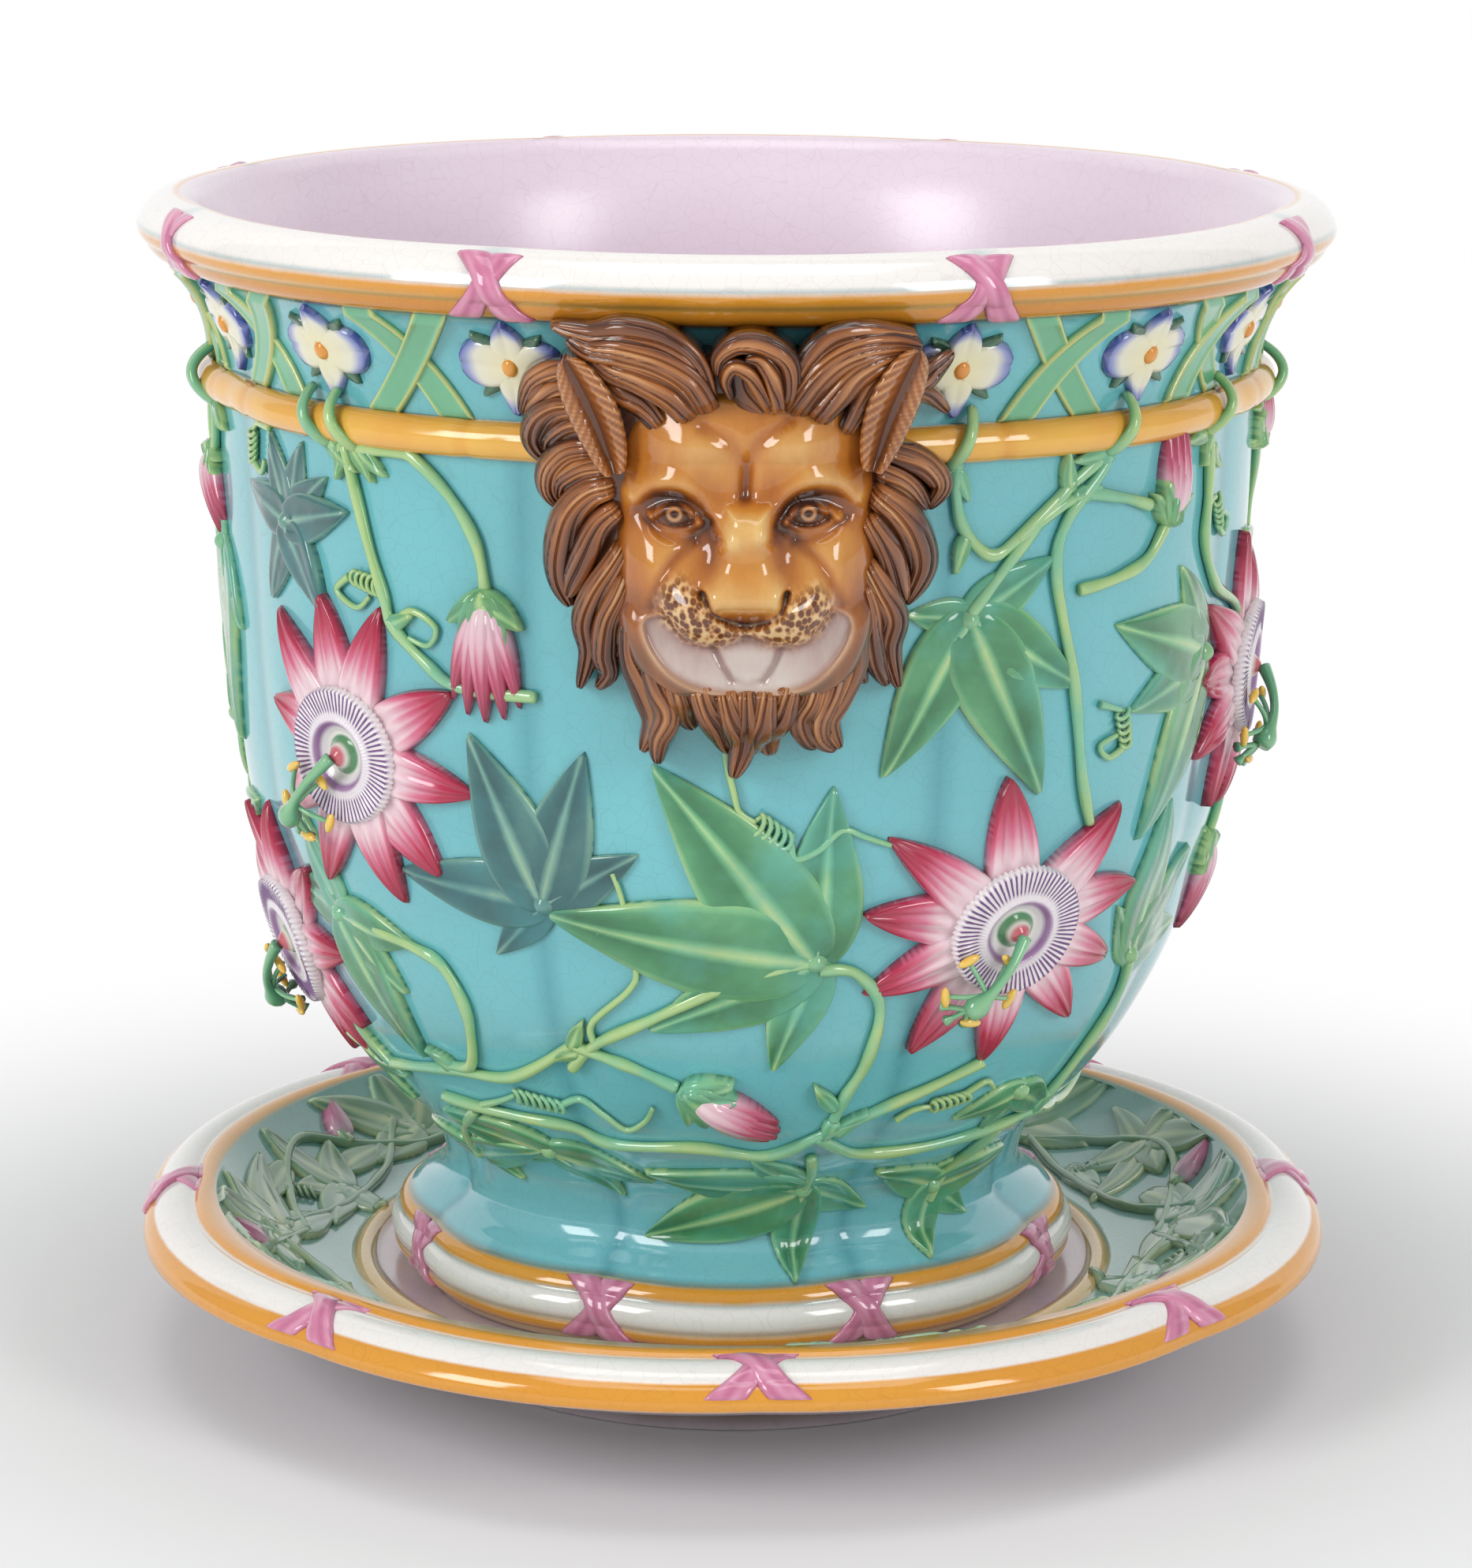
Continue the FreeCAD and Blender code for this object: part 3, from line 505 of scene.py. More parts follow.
def cane(name, material):
    """Cane band: a half round carried round the lobes, with a low swelling at each valley."""
    az = np.arange(0, 360, 0.75)[:, None]
    t = np.linspace(-0.5, 0.5, 15)[None, :] * math.pi
    valley = np.abs(within_lobe(az))
    knot = bell(valley, 17, 0.7)
    node = 1 - 0.05 * knot
    ripple = 0.12 * np.sin(np.radians(az * 37)) * np.cos(t)
    rho_in = 7.1 * np.cos(t) * node + ripple
    z = CANE_MIDDLE + 7.1 * np.sin(t) * node
    base = POT.base(az, np.full((1, 1), RUN_WALL))
    lean = unit(base[..., :2])
    p = np.concatenate([base[..., :2] + lean * (rho_in[..., None] - 0.3), (z + SEAT + 0 * az)[..., None]], -1)
    back = np.concatenate([base[..., :2] - lean * 1.5, np.full_like(base[..., :1], CANE_MIDDLE + SEAT)], -1)
    p = np.concatenate([back, p, back], 1)
    # Painted light and shade: tone and pool are lightest on the outer face of the half round, darker where it
    # turns in to the wall and at each swelling.
    tone = 0.5 + 0.35 * np.cos(t) - 0.2 * knot
    tone = np.concatenate([0 * az, tone + 0 * az, 0 * az], 1)
    Clay().grid(p, tone, np.clip(tone, 0, 1), wrap_u=True).make(name, material, "pot", ("cane_band",))


# Stand ------------------------------------------------------------------------

STAND_OUT = [(213.4, 65)] + arc((213.4, 65), (217, 62.6), 0.2, 6) + arc((217, 62.6), (233, 59.0), 0.2, 12)
STAND_OUT += arc((233, 59.0), (237.4, 49.0), 0.2, 10) + curve([(237.4, 49.0), (229.9, 46), (180, 27),
                                                               (132, 17)], 8)
STAND = Turned(STAND_OUT, 0, STAND_TURN)
# Spots of the well's profile where its wall meets the seat's bead, and where the bead ends
BEAD_START = 26
BEAD_END = BEAD_START + 10
WELL = [(207, 65)] + arc((207, 65), (152, 32.5), 0.12, BEAD_START)
WELL += arc((152, 32.5), (143, 32.5), -0.4, BEAD_END - BEAD_START) + [(142, 32.4), (60, 32.4), (1, 32.4)]
DISH = Turned(WELL, 0, STAND_TURN, -1.0)
BEAD_RUN = DISH.run[BEAD_START]


def rim_chart(run):
    """Height in the chart for a run down the stand's rim and underside."""
    return 0.4 + 0.5 * run / STAND.run[-1]


def well_chart(run):
    """Height in the chart for a run down the stand's well."""
    return 0.39 * (1 - run / DISH.run[-1])


def stand_shell():
    """Stand in one skin: lobed rim and underside, the well that rounds towards its seat, and the foot."""
    az = np.arange(0, 360, SKIN_STEP)[:, None]
    clay = Clay()
    runs = np.linspace(0, STAND.run[-1], 110)[None, :]
    fade = np.clip((runs - STAND.run[-1] * 0.5) / (STAND.run[-1] * 0.5), 0, 1) ** 1.5
    p = STAND.at(az, runs, -0.4, fade)
    clay.grid(p, 0.5, 0.5, chart_over(az, rim_chart(runs)), wrap_u=True)
    runs = np.linspace(0, DISH.run[-1], 110)[None, :]
    q = DISH.base(az, runs, 1.0)
    q[..., 2] -= 0.3
    clay.grid(np.concatenate([p[:, :1], q], 1), 0.5, 0.5,
              chart_over(az, np.concatenate([[0.395], well_chart(runs[0])])[None, :]), wrap_u=True)
    foot = round_rings(az, [(124.5, 16.6), (123.6, 14), (123.6, 1.2), (122.6, 0.2), (118, 0.2), (117.2, 1.2),
                            (110.5, 20.2), (60, 20.3), (1, 20.3)])
    low = np.concatenate([p[:, -1:], foot], 1)
    clay.grid(low, 0.5, 0.5, chart_over(az, np.linspace(0.9, 1.0, low.shape[1])[None, :]), wrap_u=True)
    return clay


def stand_stops():
    rim = [rim_chart(STAND.run[count]) for count in (6, 18, 28)]
    bead, seat = well_chart(BEAD_RUN), well_chart(DISH.run[BEAD_END])
    return painted([(seat, srgb(212, 196, 206)), (bead, srgb(230, 190, 124)), (0.388, srgb(150, 190, 184)),
                    (rim[0], OCHRE), (rim[1], WHITE), (rim[2], OCHRE), (0.9, srgb(192, 180, 188)),
                    (0.93, srgb(110, 84, 70)), (1.0, srgb(192, 182, 188))], 0.0011)


# Ribbon ties ------------------------------------------------------------------

def ribbon(clay, turned, az0, run_a, run_b, x_a, x_b, width, height, phase):
    """Flat ribbon from one run to another, crossing over, with a squared section and brushed streaks."""
    t, v = shares(30, 13)
    s = run_a + (run_b - run_a) * t
    x = (x_a + (x_b - x_a) * (t + 0.04 * np.sin(TAU * t + phase))
         + v * width / 2 * (1 + 0.14 * np.cos(TAU * t)))
    h = height * domed(v, 4) * (0.55 + 0.45 * np.sin(np.pi * np.clip(t, 0.02, 0.98)) ** 0.5)
    h = h * (1 + 0.05 * np.cos(v * 5 + 2 * t)) - 0.6
    h[0], h[-1] = -1.2, -1.2
    az = az0 + np.degrees(x / turned.radius(s))
    tone = 0.5 + 0.14 * np.cos(v * 4 + 3 * np.sin(t * 4 + phase)) + 0.1 * np.cos(v * 9 - t * 5 + phase)
    # Pool is painted shade along both edges of the ribbon.
    clay.grid(turned.at(az, s, h), tone, 0.3 + 0.4 * (1 - v ** 4) + 0 * t)
    clay.grid(turned.at(az[:, [0, -1]], s, h[:, [0, -1]]), 0.5, 0.5, turn=True)


def ties(name, turned, azimuths, run_a, run_b, wide_a, wide_b, width, body, slot):
    """Two ribbons laid in a cross over the moulding at each valley."""
    clay = Clay()
    for index, az in enumerate(azimuths):
        for side, height in ((1, 1.7), (-1, 2.7)):
            ribbon(clay, turned, az, run_a, run_b, side * wide_a, -side * wide_b, width, height, index + side)
    clay.make(name, glazes["ties"], body, (), slot)


# Relief -----------------------------------------------------------------------

SUNK = -0.8


def pillow(clay, place, x, y, h, tone=0.5, pool=0.5, uv=None, sunk=SUNK, floor=2):
    """Closed raised form: a grid of heights, its border sunk under the skin, and a floor of a few columns."""
    x, y, h = np.broadcast_arrays(x, y, h)
    h = h.copy()
    h[0], h[-1], h[:, 0], h[:, -1] = sunk, sunk, sunk, sunk
    top = place(x, y, h)
    clay.grid(top, tone + 0 * x, pool + 0 * x, uv)
    few = np.linspace(0, x.shape[1] - 1, floor).astype(int)
    clay.grid(place(x[:, few], y[:, few], np.full((len(x), floor), float(sunk))), 0.5, 0.2, turn=True)
    return clay


def tube(clay, path, radius, sides=10, flat=0.85):
    """Round section carried along a path and drawn in to a point at both ends."""
    p = np.asarray(path, float)
    radius = np.broadcast_to(radius, len(p)).astype(float)
    along = unit(np.gradient(p, axis=0))
    side = unit(np.cross(along, unit(p * np.array([1, 1, 0.0]))))
    top = np.cross(side, along)
    turn = np.arange(sides) * TAU / sides
    ring = side[:, None] * np.cos(turn)[None, :, None] + top[:, None] * (np.sin(turn) * flat)[None, :, None]
    p = np.concatenate([p[:1], p, p[-1:]])
    ring = np.concatenate([ring[:1], ring, ring[-1:]])
    radius = np.concatenate([[0], radius, [0]])
    # Tone is painted light and shade round the section: lighter on the side turned away from the axis, darker
    # on the side turned towards it.
    clay.grid(p[:, None] + ring * radius[:, None, None], 0.5 + 0.35 * np.sin(turn)[None, :], 0.5, wrap_v=True)


def wall_path(spots, h, steps=10):
    """Smooth path on the wall through places given as azimuth and drawing height."""
    line = smooth_line(spots, steps)
    return POT.at(line[:, 0], wall_run(line[:, 1]), h)


def on_wall(az, z_rel, turn=0.0):
    """Placing function for the wall: its x is aimed at an angle from the right, counted upwards."""
    return aimed(lambda x, y, h: wall_at(az, z_rel, x, y, h), turn)


def blade(clay, place, length, width, bend, relief, base, veins, start, n=34, m=15):
    """Leaf blade: a sine in width, fuller towards the base, with a midrib, veins and a thick edge."""
    t = np.linspace(0, 1, n)[:, None]
    v = np.sin(np.pi / 2 * np.linspace(-1, 1, m))[None, :]
    half = width * (np.sin(np.pi * t ** 0.75) ** 0.85 * (1 - 0.25 * t) + 0.10 * (1 - t) ** 2)
    x = start + (length - start) * t + 0 * v
    y = half * v + bend * length * np.sin(np.pi * t * 0.5) ** 2
    rib = bell(v * half, 0, 0.9)
    side = (np.clip(np.cos((t * veins - np.abs(v) * 1.1) * TAU), 0, 1) ** 6
            * np.clip(1 - np.abs(v), 0, 1) * (1 - rib))
    edge = np.clip(1 - np.abs(v) ** 6, 0, 1) ** 0.5 * np.clip(1 - t ** 12, 0, 1) ** 0.5
    swell = 0.62 + 0.38 * v ** 2 + 0.16 * np.sin(t * 6 + v * 2 + length)
    h = (base + relief * edge * swell + 0.6 * rib + 0.24 * side) * np.clip(t * 9, 0, 1) ** 0.5
    # Tone is lighter along the midrib and at the edge; pool is painted shade in the hollows between them.
    tone = np.clip(0.34 + 0.06 * np.sin(length * 1.7) + 0.5 * rib + 0.1 * side
                   + 0.5 * np.clip((np.abs(v) - 0.8) / 0.2, 0, 1) + 0.1 * np.sin(t * 7 + v * 3), 0, 1)
    pool = np.clip(0.16 + 0.4 * rib + 0.4 * v ** 2 + 0.1 * np.sin(t * 5), 0, 1)
    pillow(clay, place, x, y, h, tone, pool, floor=5 if length > 30 else 2)


def palmate(clay, az, z_rel, table, relief=3.0):
    """Palmate leaf: blades that meet at a hub, the shorter ones under the longer, with a small boss there."""
    for rank, (aim, length) in enumerate(sorted(table, key=lambda row: row[1])):
        place = on_wall(az, z_rel, aim)
        bend = 0.05 * math.sin(aim * 0.09)
        blade(clay, place, length, length * 0.185 + 3.2, bend, relief * (0.7 + 0.1 * rank), 0.16 * rank,
              max(4, int(length / 9)), -4.0)
    t = np.linspace(0, 1, 8)[:, None]
    a = np.linspace(0, TAU, 17)[None, :]
    clay.grid(wall_at(az, z_rel, 5.5 * t * np.cos(a), 5.5 * t * np.sin(a), 4.4 * (1 - t ** 2) - 0.6 * t ** 2),
              0.7, 0.5)


LEAVES = [
    (9.3, 152, [(84, 69), (129, 96), (169, 100), (206, 69), (256, 50)]),
    (25, 277, [(171, 26), (238, 65), (293, 76), (332, 57), (30, 40)]),
    (64, 247, [(160, 73), (130, 48), (233, 79), (195, 60)]),
    (57, 133, [(86, 66), (130, 31), (3, 49), (43, 55)]),
    (-53, 151, [(108, 41), (167, 40), (-65, 65), (-42, 42), (-5, 42)]),
    (12.5, 47, [(164, 60), (203, 68), (-92, 44), (-22, 34), (130, 34)]),
]
DARK_LEAVES = [
    (-55, 300, [(68, 34), (36, 34), (10, 40), (-55, 40), (-120, 36), (160, 36), (110, 34)]),
    (-21.5, 171, [(30, 44), (72, 63), (114, 68), (173, 60), (223, 33)]),
]
SIDE_LEAVES = [
    (-80, 278, [(-84, 78), (-118, 44), (-52, 40), (100, 26)]),
    (-88, 205, [(80, 42), (120, 46), (30, 30), (160, 40), (250, 34)]),
    (-86, 165, [(20, 40), (-40, 46), (-90, 40), (150, 36)]),
    (-50, 50, [(20, 46), (170, 40), (60, 24), (-30, 22)]),
    (40, 40, [(10, 42), (150, 34), (60, 26), (-100, 34), (-40, 30)]),
    (44, 84, [(-30, 32), (200, 30), (250, 24)]),
    (-30, 62, [(-20, 44), (-55, 38), (200, 34), (160, 46)]),
    (-68, 92, [(-10, 46), (-50, 40), (150, 44), (190, 36), (60, 34)]),
    (92, 262, [(200, 60), (150, 50), (250, 64), (290, 40)]),
    (100, 150, [(30, 48), (90, 56), (150, 50), (-40, 40)]),
    (118, 255, [(240, 60), (290, 56), (190, 40), (340, 40)]),
    (-118, 255, [(300, 60), (250, 56), (350, 44), (200, 40)]),
    (-105, 128, [(90, 52), (140, 46), (30, 44), (200, 40)]),
    (170, 152, [(84, 69), (129, 80), (40, 70), (206, 60), (256, 50), (0, 50)]),
    (-160, 285, [(240, 60), (290, 62), (190, 40), (340, 44)]),
    (155, 60, [(20, 50), (164, 56), (100, 26)]),
    (-125, 55, [(20, 46), (170, 46), (70, 24)]),
]


# Vines, tendrils and buds -----------------------------------------------------

# Drawing height at which the vines that come down from the frieze start
HOOK = 347
VINES = [
    [(-128, HOOK), (-131, 330), (-135, 312), (-136, 298)], [(-160, 285), (-166, 278), (-173, 270), (-175, 254)],
    [(150, 68), (155, 80), (155, 94), (152, 108)], [(107, HOOK), (105, 325), (104, 302), (104, 283)],
    [(92, 262), (90, 225), (86, 190), (84, 163)], [(-79, HOOK), (-82, 335), (-83, 316)],
    [(171, HOOK), (173, 330), (178, 312), (180, 300)], [(-42, HOOK), (-37, 338), (-31, 322), (-27.5, 304),
                                                        (-26.5, 286)],
    [(38, 284), (43, 286), (48, 291), (51, 302)],
    [(-75, 88), (-62, 85), (-50, 90), (-40, 95), (-30, 97), (-20, 115)],
    [(-20, 115), (-16, 111), (-12, 107), (-7, 100)],
    [(-45, 80), (-32, 78), (-24, 76), (-18, 70), (-5, 72), (5, 68), (12, 76), (15, 80), (24, 90), (34, 103)],
    [(12, 76), (19.5, 65), (30, 64), (45, 68), (52, 70), (60, 65), (80, 58), (100, 66), (122, 72)],
    [(-21, 104), (-17, 116), (-10, 128), (-3, 140), (4, 149), (9, 152)],
    [(9.8, 149), (14, 147), (17.5, 133), (17, 110), (15, 95), (14, 84)],
    [(-46, HOOK), (-44, 335), (-41, 300), (-39, 280), (-38, 270), (-34, 258), (-30, 250), (-21, 249)],
    [(22, HOOK), (23, 335), (23, 322), (24, 310), (27, 300), (30, 305), (36, 322), (40, 331)],
    [(30, 305), (37, 318), (43, 316), (48, 311)],
    [(41, HOOK), (41, 330), (36, 310), (35, 290), (38, 250), (40, 215), (42, 195)],
    [(-46, 150), (-40, 146), (-36, 140), (-34, 122), (-36, 100), (-40, 97)],
    [(59, HOOK), (60, 335), (61, 310), (61, 290), (66, 272), (75, 258), (80, 240)],
    [(36, 322), (33, 312), (29, 296), (25, 279)],
    [(52, 70), (55, 90), (58, 112), (57, 133)],
    [(-62, 85), (-70, 100), (-74, 118)],
    [(-78, HOOK), (-80, 320), (-86, 290), (-88, 250), (-88, 205)],
    [(84, HOOK), (86, 320), (92, 290), (92, 262)],
    [(112, HOOK), (114, 320), (118, 290), (118, 255)], [(118, 285), (126, 262), (134, 240)],
    [(-112, HOOK), (-114, 320), (-118, 290), (-118, 255)], [(-118, 285), (-106, 270), (-100, 250)],
    [(100, 66), (104, 100), (100, 150)], [(122, 72), (150, 68), (176, 76), (-160 + 360, 70), (-140 + 360, 80)],
    [(-140, 80), (-122, 92), (-108, 100), (-105, 128)], [(-75, 88), (-90, 84), (-108, 100)],
    [(176, 76), (172, 100), (170, 152)], [(200, 70), (206, 110), (210, 140)],
    [(-158, HOOK), (-158, 320), (-160, 300), (-160, 285)],
    [(-88, 160), (-84, 140), (-80, 120), (-70, 100)],
    [(12.5, 45), (13, 56), (12, 66)], [(40, 33), (42, 50), (45, 66)], [(-50, 50), (-46, 64), (-40, 76)],
]


TENDRILS = [
    [(-0.5, 249), (-0.8, 232), (0, 218), (0.6, 211), (2.2, 207)],
    [(6, 199), (6.5, 193), (9, 196), (11.5, 203), (14, 200), (17, 196)],
    [(-11, 150), (-12.5, 153), (-13.8, 156), (-15.2, 161), (-13.8, 166.5), (-11.9, 163), (-12.4, 157),
     (-14, 155)],
    [(-17, 116), (-17, 125), (-12, 140), (-11, 150), (-12, 175), (-13, 186)],
    [(-38, 80), (-34, 84), (-31, 88)], [(-25, 85), (-21, 90), (-18, 84), (-15, 78), (-12, 83), (-10.5, 90)],
    [(24, 80), (26, 84), (28.5, 85)], [(33, 88), (36, 93), (38, 89)],
    [(-39, 280), (-39.5, 283)], [(-44, 285), (-46, 279), (-43, 274), (-41, 279)],
    [(42, 240), (45.5, 236)], [(46.5, 222), (44, 219), (42.5, 224), (45, 227)],
    [(-38, 270), (-35.5, 276), (-32.5, 271), (-33.5, 264), (-36, 266)],
    [(-58, 335), (-61, 334), (-63, 330)], [(-63.5, 318), (-61, 315), (-60, 320)],
    [(61, 300), (62, 305), (64, 306)], [(66, 294), (68, 290), (69, 296), (67, 299)],
]


SPRINGS = [((2.2, 207, -32), 15, 5, 4.4), ((-31, 88, -10), 20, 7, 3.6), ((28.5, 85, 12), 16, 6, 3.2),
           ((-39.5, 283, 170), 14, 5, 3.4), ((45.5, 236, -75), 15, 5, 3.4), ((-63, 330, -100), 13, 5, 3.2),
           ((64, 306, -60), 14, 5, 3.2), ((-88, 270, -80), 16, 6, 3.6)]


def knots(clay):
    """Bracts where vines part: small blades that clasp the stem."""
    for az, z, turn, size in ((-20, 115, 60, 13), (-20, 112, 200, 12), (13.5, 90, 120, 15), (15, 78, 40, 15),
                              (14, 82, 250, 12), (36, 322, 90, 15), (37, 318, 10, 13), (24, 306, 250, 13),
                              (-44, 335, 250, 14), (-42, 332, 300, 14), (41, 331, 90, 13), (60, 332, 250, 13),
                              (61, 326, 310, 13), (-38, 270, 20, 11), (52, 70, 80, 11), (-40, 97, 140, 12),
                              (23, 330, 290, 12), (100, 68, 90, 12), (118, 290, 280, 13), (-118, 290, 250, 13)):
        blade(clay, on_wall(az, z, turn), size, 3.6, 0.08, 2.6, 1.0, 3, -3.0, n=14, m=9)


def bud(petals, calyx, az, z_rel, turn, length, radius, spread):
    """Bud: long sepals laid round a spindle, each a blade, held in a calyx of shorter green ones."""
    for side, part in ((-1.0, 0.9), (1.0, 0.9), (-0.5, 0.97), (0.5, 0.97), (0, 1.0)):
        place = on_wall(az, z_rel, turn + side * (8 + 22 * spread))
        t, v = shares(30, 13)
        half = radius * (0.42 - 0.06 * abs(side)) * (np.sin(np.pi * t ** 0.62) ** 0.8 + 0.25 * (1 - t))
        h = (1.0 + radius * (0.75 - 0.28 * abs(side)) * np.sin(np.pi * t ** 0.55) ** 0.7 * domed(v, 2)
             + 0.25 * np.cos(v * 14))
        y = half * v + side * radius * 0.12 * np.sin(np.pi * t)
        tone = np.clip(t + 0.1 * np.cos(v * 12), 0, 1) + 0 * v
        # Pool is painted shade along the sepal's edges.
        pillow(petals, place, length * part * t + 0 * v, y, h, tone, 0.3 + 0.3 * (1 - v ** 2) + 0 * t)
    for side in (-1.7, 1.7, -0.9, 0.9, 0):
        blade(calyx, on_wall(az, z_rel, turn + side * 30), length * (0.44 - 0.03 * abs(side)), radius * 0.5,
              side * 0.06, radius * 0.42 * (1.55 - 0.35 * abs(side)), 1.2, 2, -5.0, n=16, m=9)


BUDS = [(-26.5, 283, -92, 46, 12, 0.5), (51.5, 306, 84, 38, 11, 0.1), (-5.0, 99, -38, 42, 13, 0.05),
        (-83, 312, -70, 34, 9, 0.2), (84, 318, 70, 30, 8, 0.2), (84, 160, -88, 40, 9, 0.2),
        (104, 280, -90, 44, 11, 0.4), (-136, 296, -92, 44, 11, 0.4), (152, 110, 200, 40, 10, 0.1),
        (-175, 250, -80, 42, 11, 0.3)]


# Passion flowers --------------------------------------------------------------

def petal(clay, az, z_rel, aim, length, width, lift, curl):
    """Petal: a long pointed blade, hollowed along its middle, that lifts from the corona and dips again."""
    t, v = shares(44, 17)
    half = width * (np.sin(np.pi * (0.1 + 0.9 * t) ** 0.95) ** 0.75 * (1 - 0.08 * t) + 0.45 * (1 - t) ** 2)
    x = 8 + (length - 8) * t * (1 - curl * 0.12 * t ** 3) + 0 * v
    arch = lift * (np.sin(np.pi * np.clip(t * 0.9 + 0.12, 0, 1)) ** 0.6) + curl * 7 * t ** 4
    groove = 0.9 * bell(v, 0, 0.12) - 0.5 * bell(np.abs(v), 0.35, 0.16)
    h = (0.7 + arch * domed(v, 8) + groove * np.sin(np.pi * t) ** 0.5 + 0.9 * v ** 2 * (1 - t)
         + 0.12 * np.cos(v * 30))
    tone = np.clip(t + 0.06 * np.cos(v * 17 + aim) + 0.14 * np.abs(v) ** 3 - 0.05, 0, 1)
    # Pool is painted shade in the hollows beside the petal's middle.
    pool = np.clip(0.42 + 0.25 * groove + 0.2 * np.abs(v), 0, 1) + 0 * t
    pillow(clay, on_wall(az, z_rel, aim), x, half * v, h, tone, pool, floor=3)


# Aims and lengths of the petals of the two flowers in front, which the others repeat turned
RIGHT_PETALS = [(143, 66), (98, 62), (42, 62), (8, 64), (-22, 63), (-48, 64), (-88, 62), (-124, 64), (-158, 62),
                (170, 64)]
LEFT_PETALS = [(134, 66), (101, 62), (72, 60), (30, 60), (-9, 58), (-46, 60), (-72, 60), (-114, 62), (-148, 58),
               (166, 54)]
FLOWERS = [(33, 160, RIGHT_PETALS), (-45.2, 219, LEFT_PETALS),
           (-72, 128, [(a + 14, r * 0.95) for a, r in LEFT_PETALS]),
           (80, 232, [(a + 6, r * 0.95) for a, r in RIGHT_PETALS]), (135, 219, LEFT_PETALS),
           (-147, 160, RIGHT_PETALS)]
CORONA_TICKS = 72


def corona(clay, az, z_rel, size=25.5):
    """Corona: a dished disc with fine ticks pressed round it; the chart holds its radius and its turn."""
    t, a = np.linspace(0, 1, 40)[:, None], np.linspace(0, TAU, 289)[None, :]
    ticks = np.cos(a * CORONA_TICKS)
    r = size * t * (1 + 0.018 * ticks * np.clip(t * 3 - 2, 0, 1))
    h = 7.4 + 1.6 * t ** 2 - 3.0 * bell(t, 0.30, 0.13) + 0.35 * ticks * bell(t, 0.78, 0.2)
    h = h + 1.2 * bell(t, 0.52, 0.05) + 3.2 * bell(t, 0, 0.17)
    h = np.where(t > 0.96, h - (t - 0.96) * 90, h)
    clay.grid(wall_at(az, z_rel, r * np.cos(a), r * np.sin(a), h), 0.5, 0.5, (t + 0 * a, a / TAU + 0 * t))
    low = np.linspace(1, 0, 4)[:, None]
    edge = low > 0.99
    scallop = 1 + 0.018 * ticks * edge
    clay.grid(wall_at(az, z_rel, size * low * np.cos(a) * scallop, size * low * np.sin(a) * scallop,
                      np.where(edge, h[-1:], SUNK)), 0.5, 0.3, (0.99 + 0 * low * a, a / TAU + 0 * low))


def column(clay, anthers, az, z_rel, aim, length):
    """Column of the flower: a swelling stem that leans over the corona, five anthers and three stigmas."""
    c, s = math.cos(math.radians(aim)), math.sin(math.radians(aim))
    t = np.linspace(0, 1, 24)
    line = wall_at(az, z_rel, length * t * c, length * t * s, 8 + 11 * np.sin(np.pi * (0.1 + 0.6 * t)))
    size = 2.6 - 0.9 * np.sin(np.pi * t) + 2.2 * bell(t, 0.9, 0.12)
    tube(clay, line, size, 14, 1.0)
    mid = 0.74 * length
    for k in range(5):
        a = math.radians(aim + 30 + k * 72)
        reach = np.linspace(0, 1, 9)
        base_x, base_y = mid * c, mid * s
        x = base_x + 13.5 * reach * math.cos(a)
        y = base_y + 13.5 * reach * math.sin(a)
        tube(clay, wall_at(az, z_rel, x, y, 17 - 6.0 * reach ** 2), 1.0, 8, 1.0)
        q = np.linspace(-1, 1, 12)
        ax = base_x + 13.5 * math.cos(a) - 4.2 * q * math.sin(a)
        ay = base_y + 13.5 * math.sin(a) + 4.2 * q * math.cos(a)
        tube(anthers, wall_at(az, z_rel, ax, ay, 12.4 + 0 * q), 1.8 * np.sqrt(1.02 - q ** 2), 10, 0.9)
    for k in (-1, 0, 1):
        a = math.radians(aim + 50 * k)
        reach = np.linspace(0, 1, 10)
        x = length * c + 8.5 * reach * math.cos(a)
        y = length * s + 8.5 * reach * math.sin(a)
        tube(clay, wall_at(az, z_rel, x, y, 15 - 5 * reach), 1.1 + 1.1 * np.clip(reach * 3 - 2, 0, 1), 8, 1.0)


# Frieze -----------------------------------------------------------------------

RUN_MID = (RUN_RIM_FOOT + RUN_FRIEZE_FOOT) / 2


def on_frieze(az, turn=0.0):
    """Placing function for the middle of the frieze."""
    return aimed(lambda x, y, h: POT.at(az + np.degrees(x / POT.radius(RUN_MID)), RUN_MID - y, h), turn)


def frieze_flower(clay, slots, eyes, az):
    """Frieze flower: two pointed petals and two round ones, a bead at its eye and slots between them."""
    for aim, length, width, taper, power in ((90, 20.0, 9.6, 2.2, 0.8), (-90, 20.0, 9.6, 2.2, 0.8),
                                             (0, 20.5, 12.4, 5, 0.5), (180, 20.5, 12.4, 5, 0.5)):
        t, v = shares(22, 15)
        half = width * (np.clip(1 - t ** taper, 0, 1) ** power * (0.55 + 0.75 * t * (1.25 - t)) + 0.02)
        h = 0.8 + 3.0 * domed(v, 4) * (0.75 + 0.25 * np.cos(t * 3)) - 0.7 * bell(v, 0, 0.14) * t
        tone = np.clip(0.85 * t ** 2.4 + 0.55 * np.abs(v) ** 3 * t ** 0.6, 0, 1)
        pillow(clay, on_frieze(az, aim), length * t + 0 * v, half * v, h, tone, 0.5 + 0 * tone)
    for aim in (45, 135, 225, 315):
        blade(slots, on_frieze(az, aim), 19.0, 3.4, 0, 1.4, 0.5, 2, 7.0, n=12, m=7)
    t, a = np.linspace(0, 1, 9)[:, None], np.linspace(0, TAU, 19)[None, :]
    eyes.grid(on_frieze(az)(3.3 * np.sin(t * 2.2) * np.cos(a), 4.0 * np.sin(t * 2.2) * np.sin(a),
                            3.2 + 2.4 * np.cos(t * 2.2) + 0 * a), 0.6, 0.5)


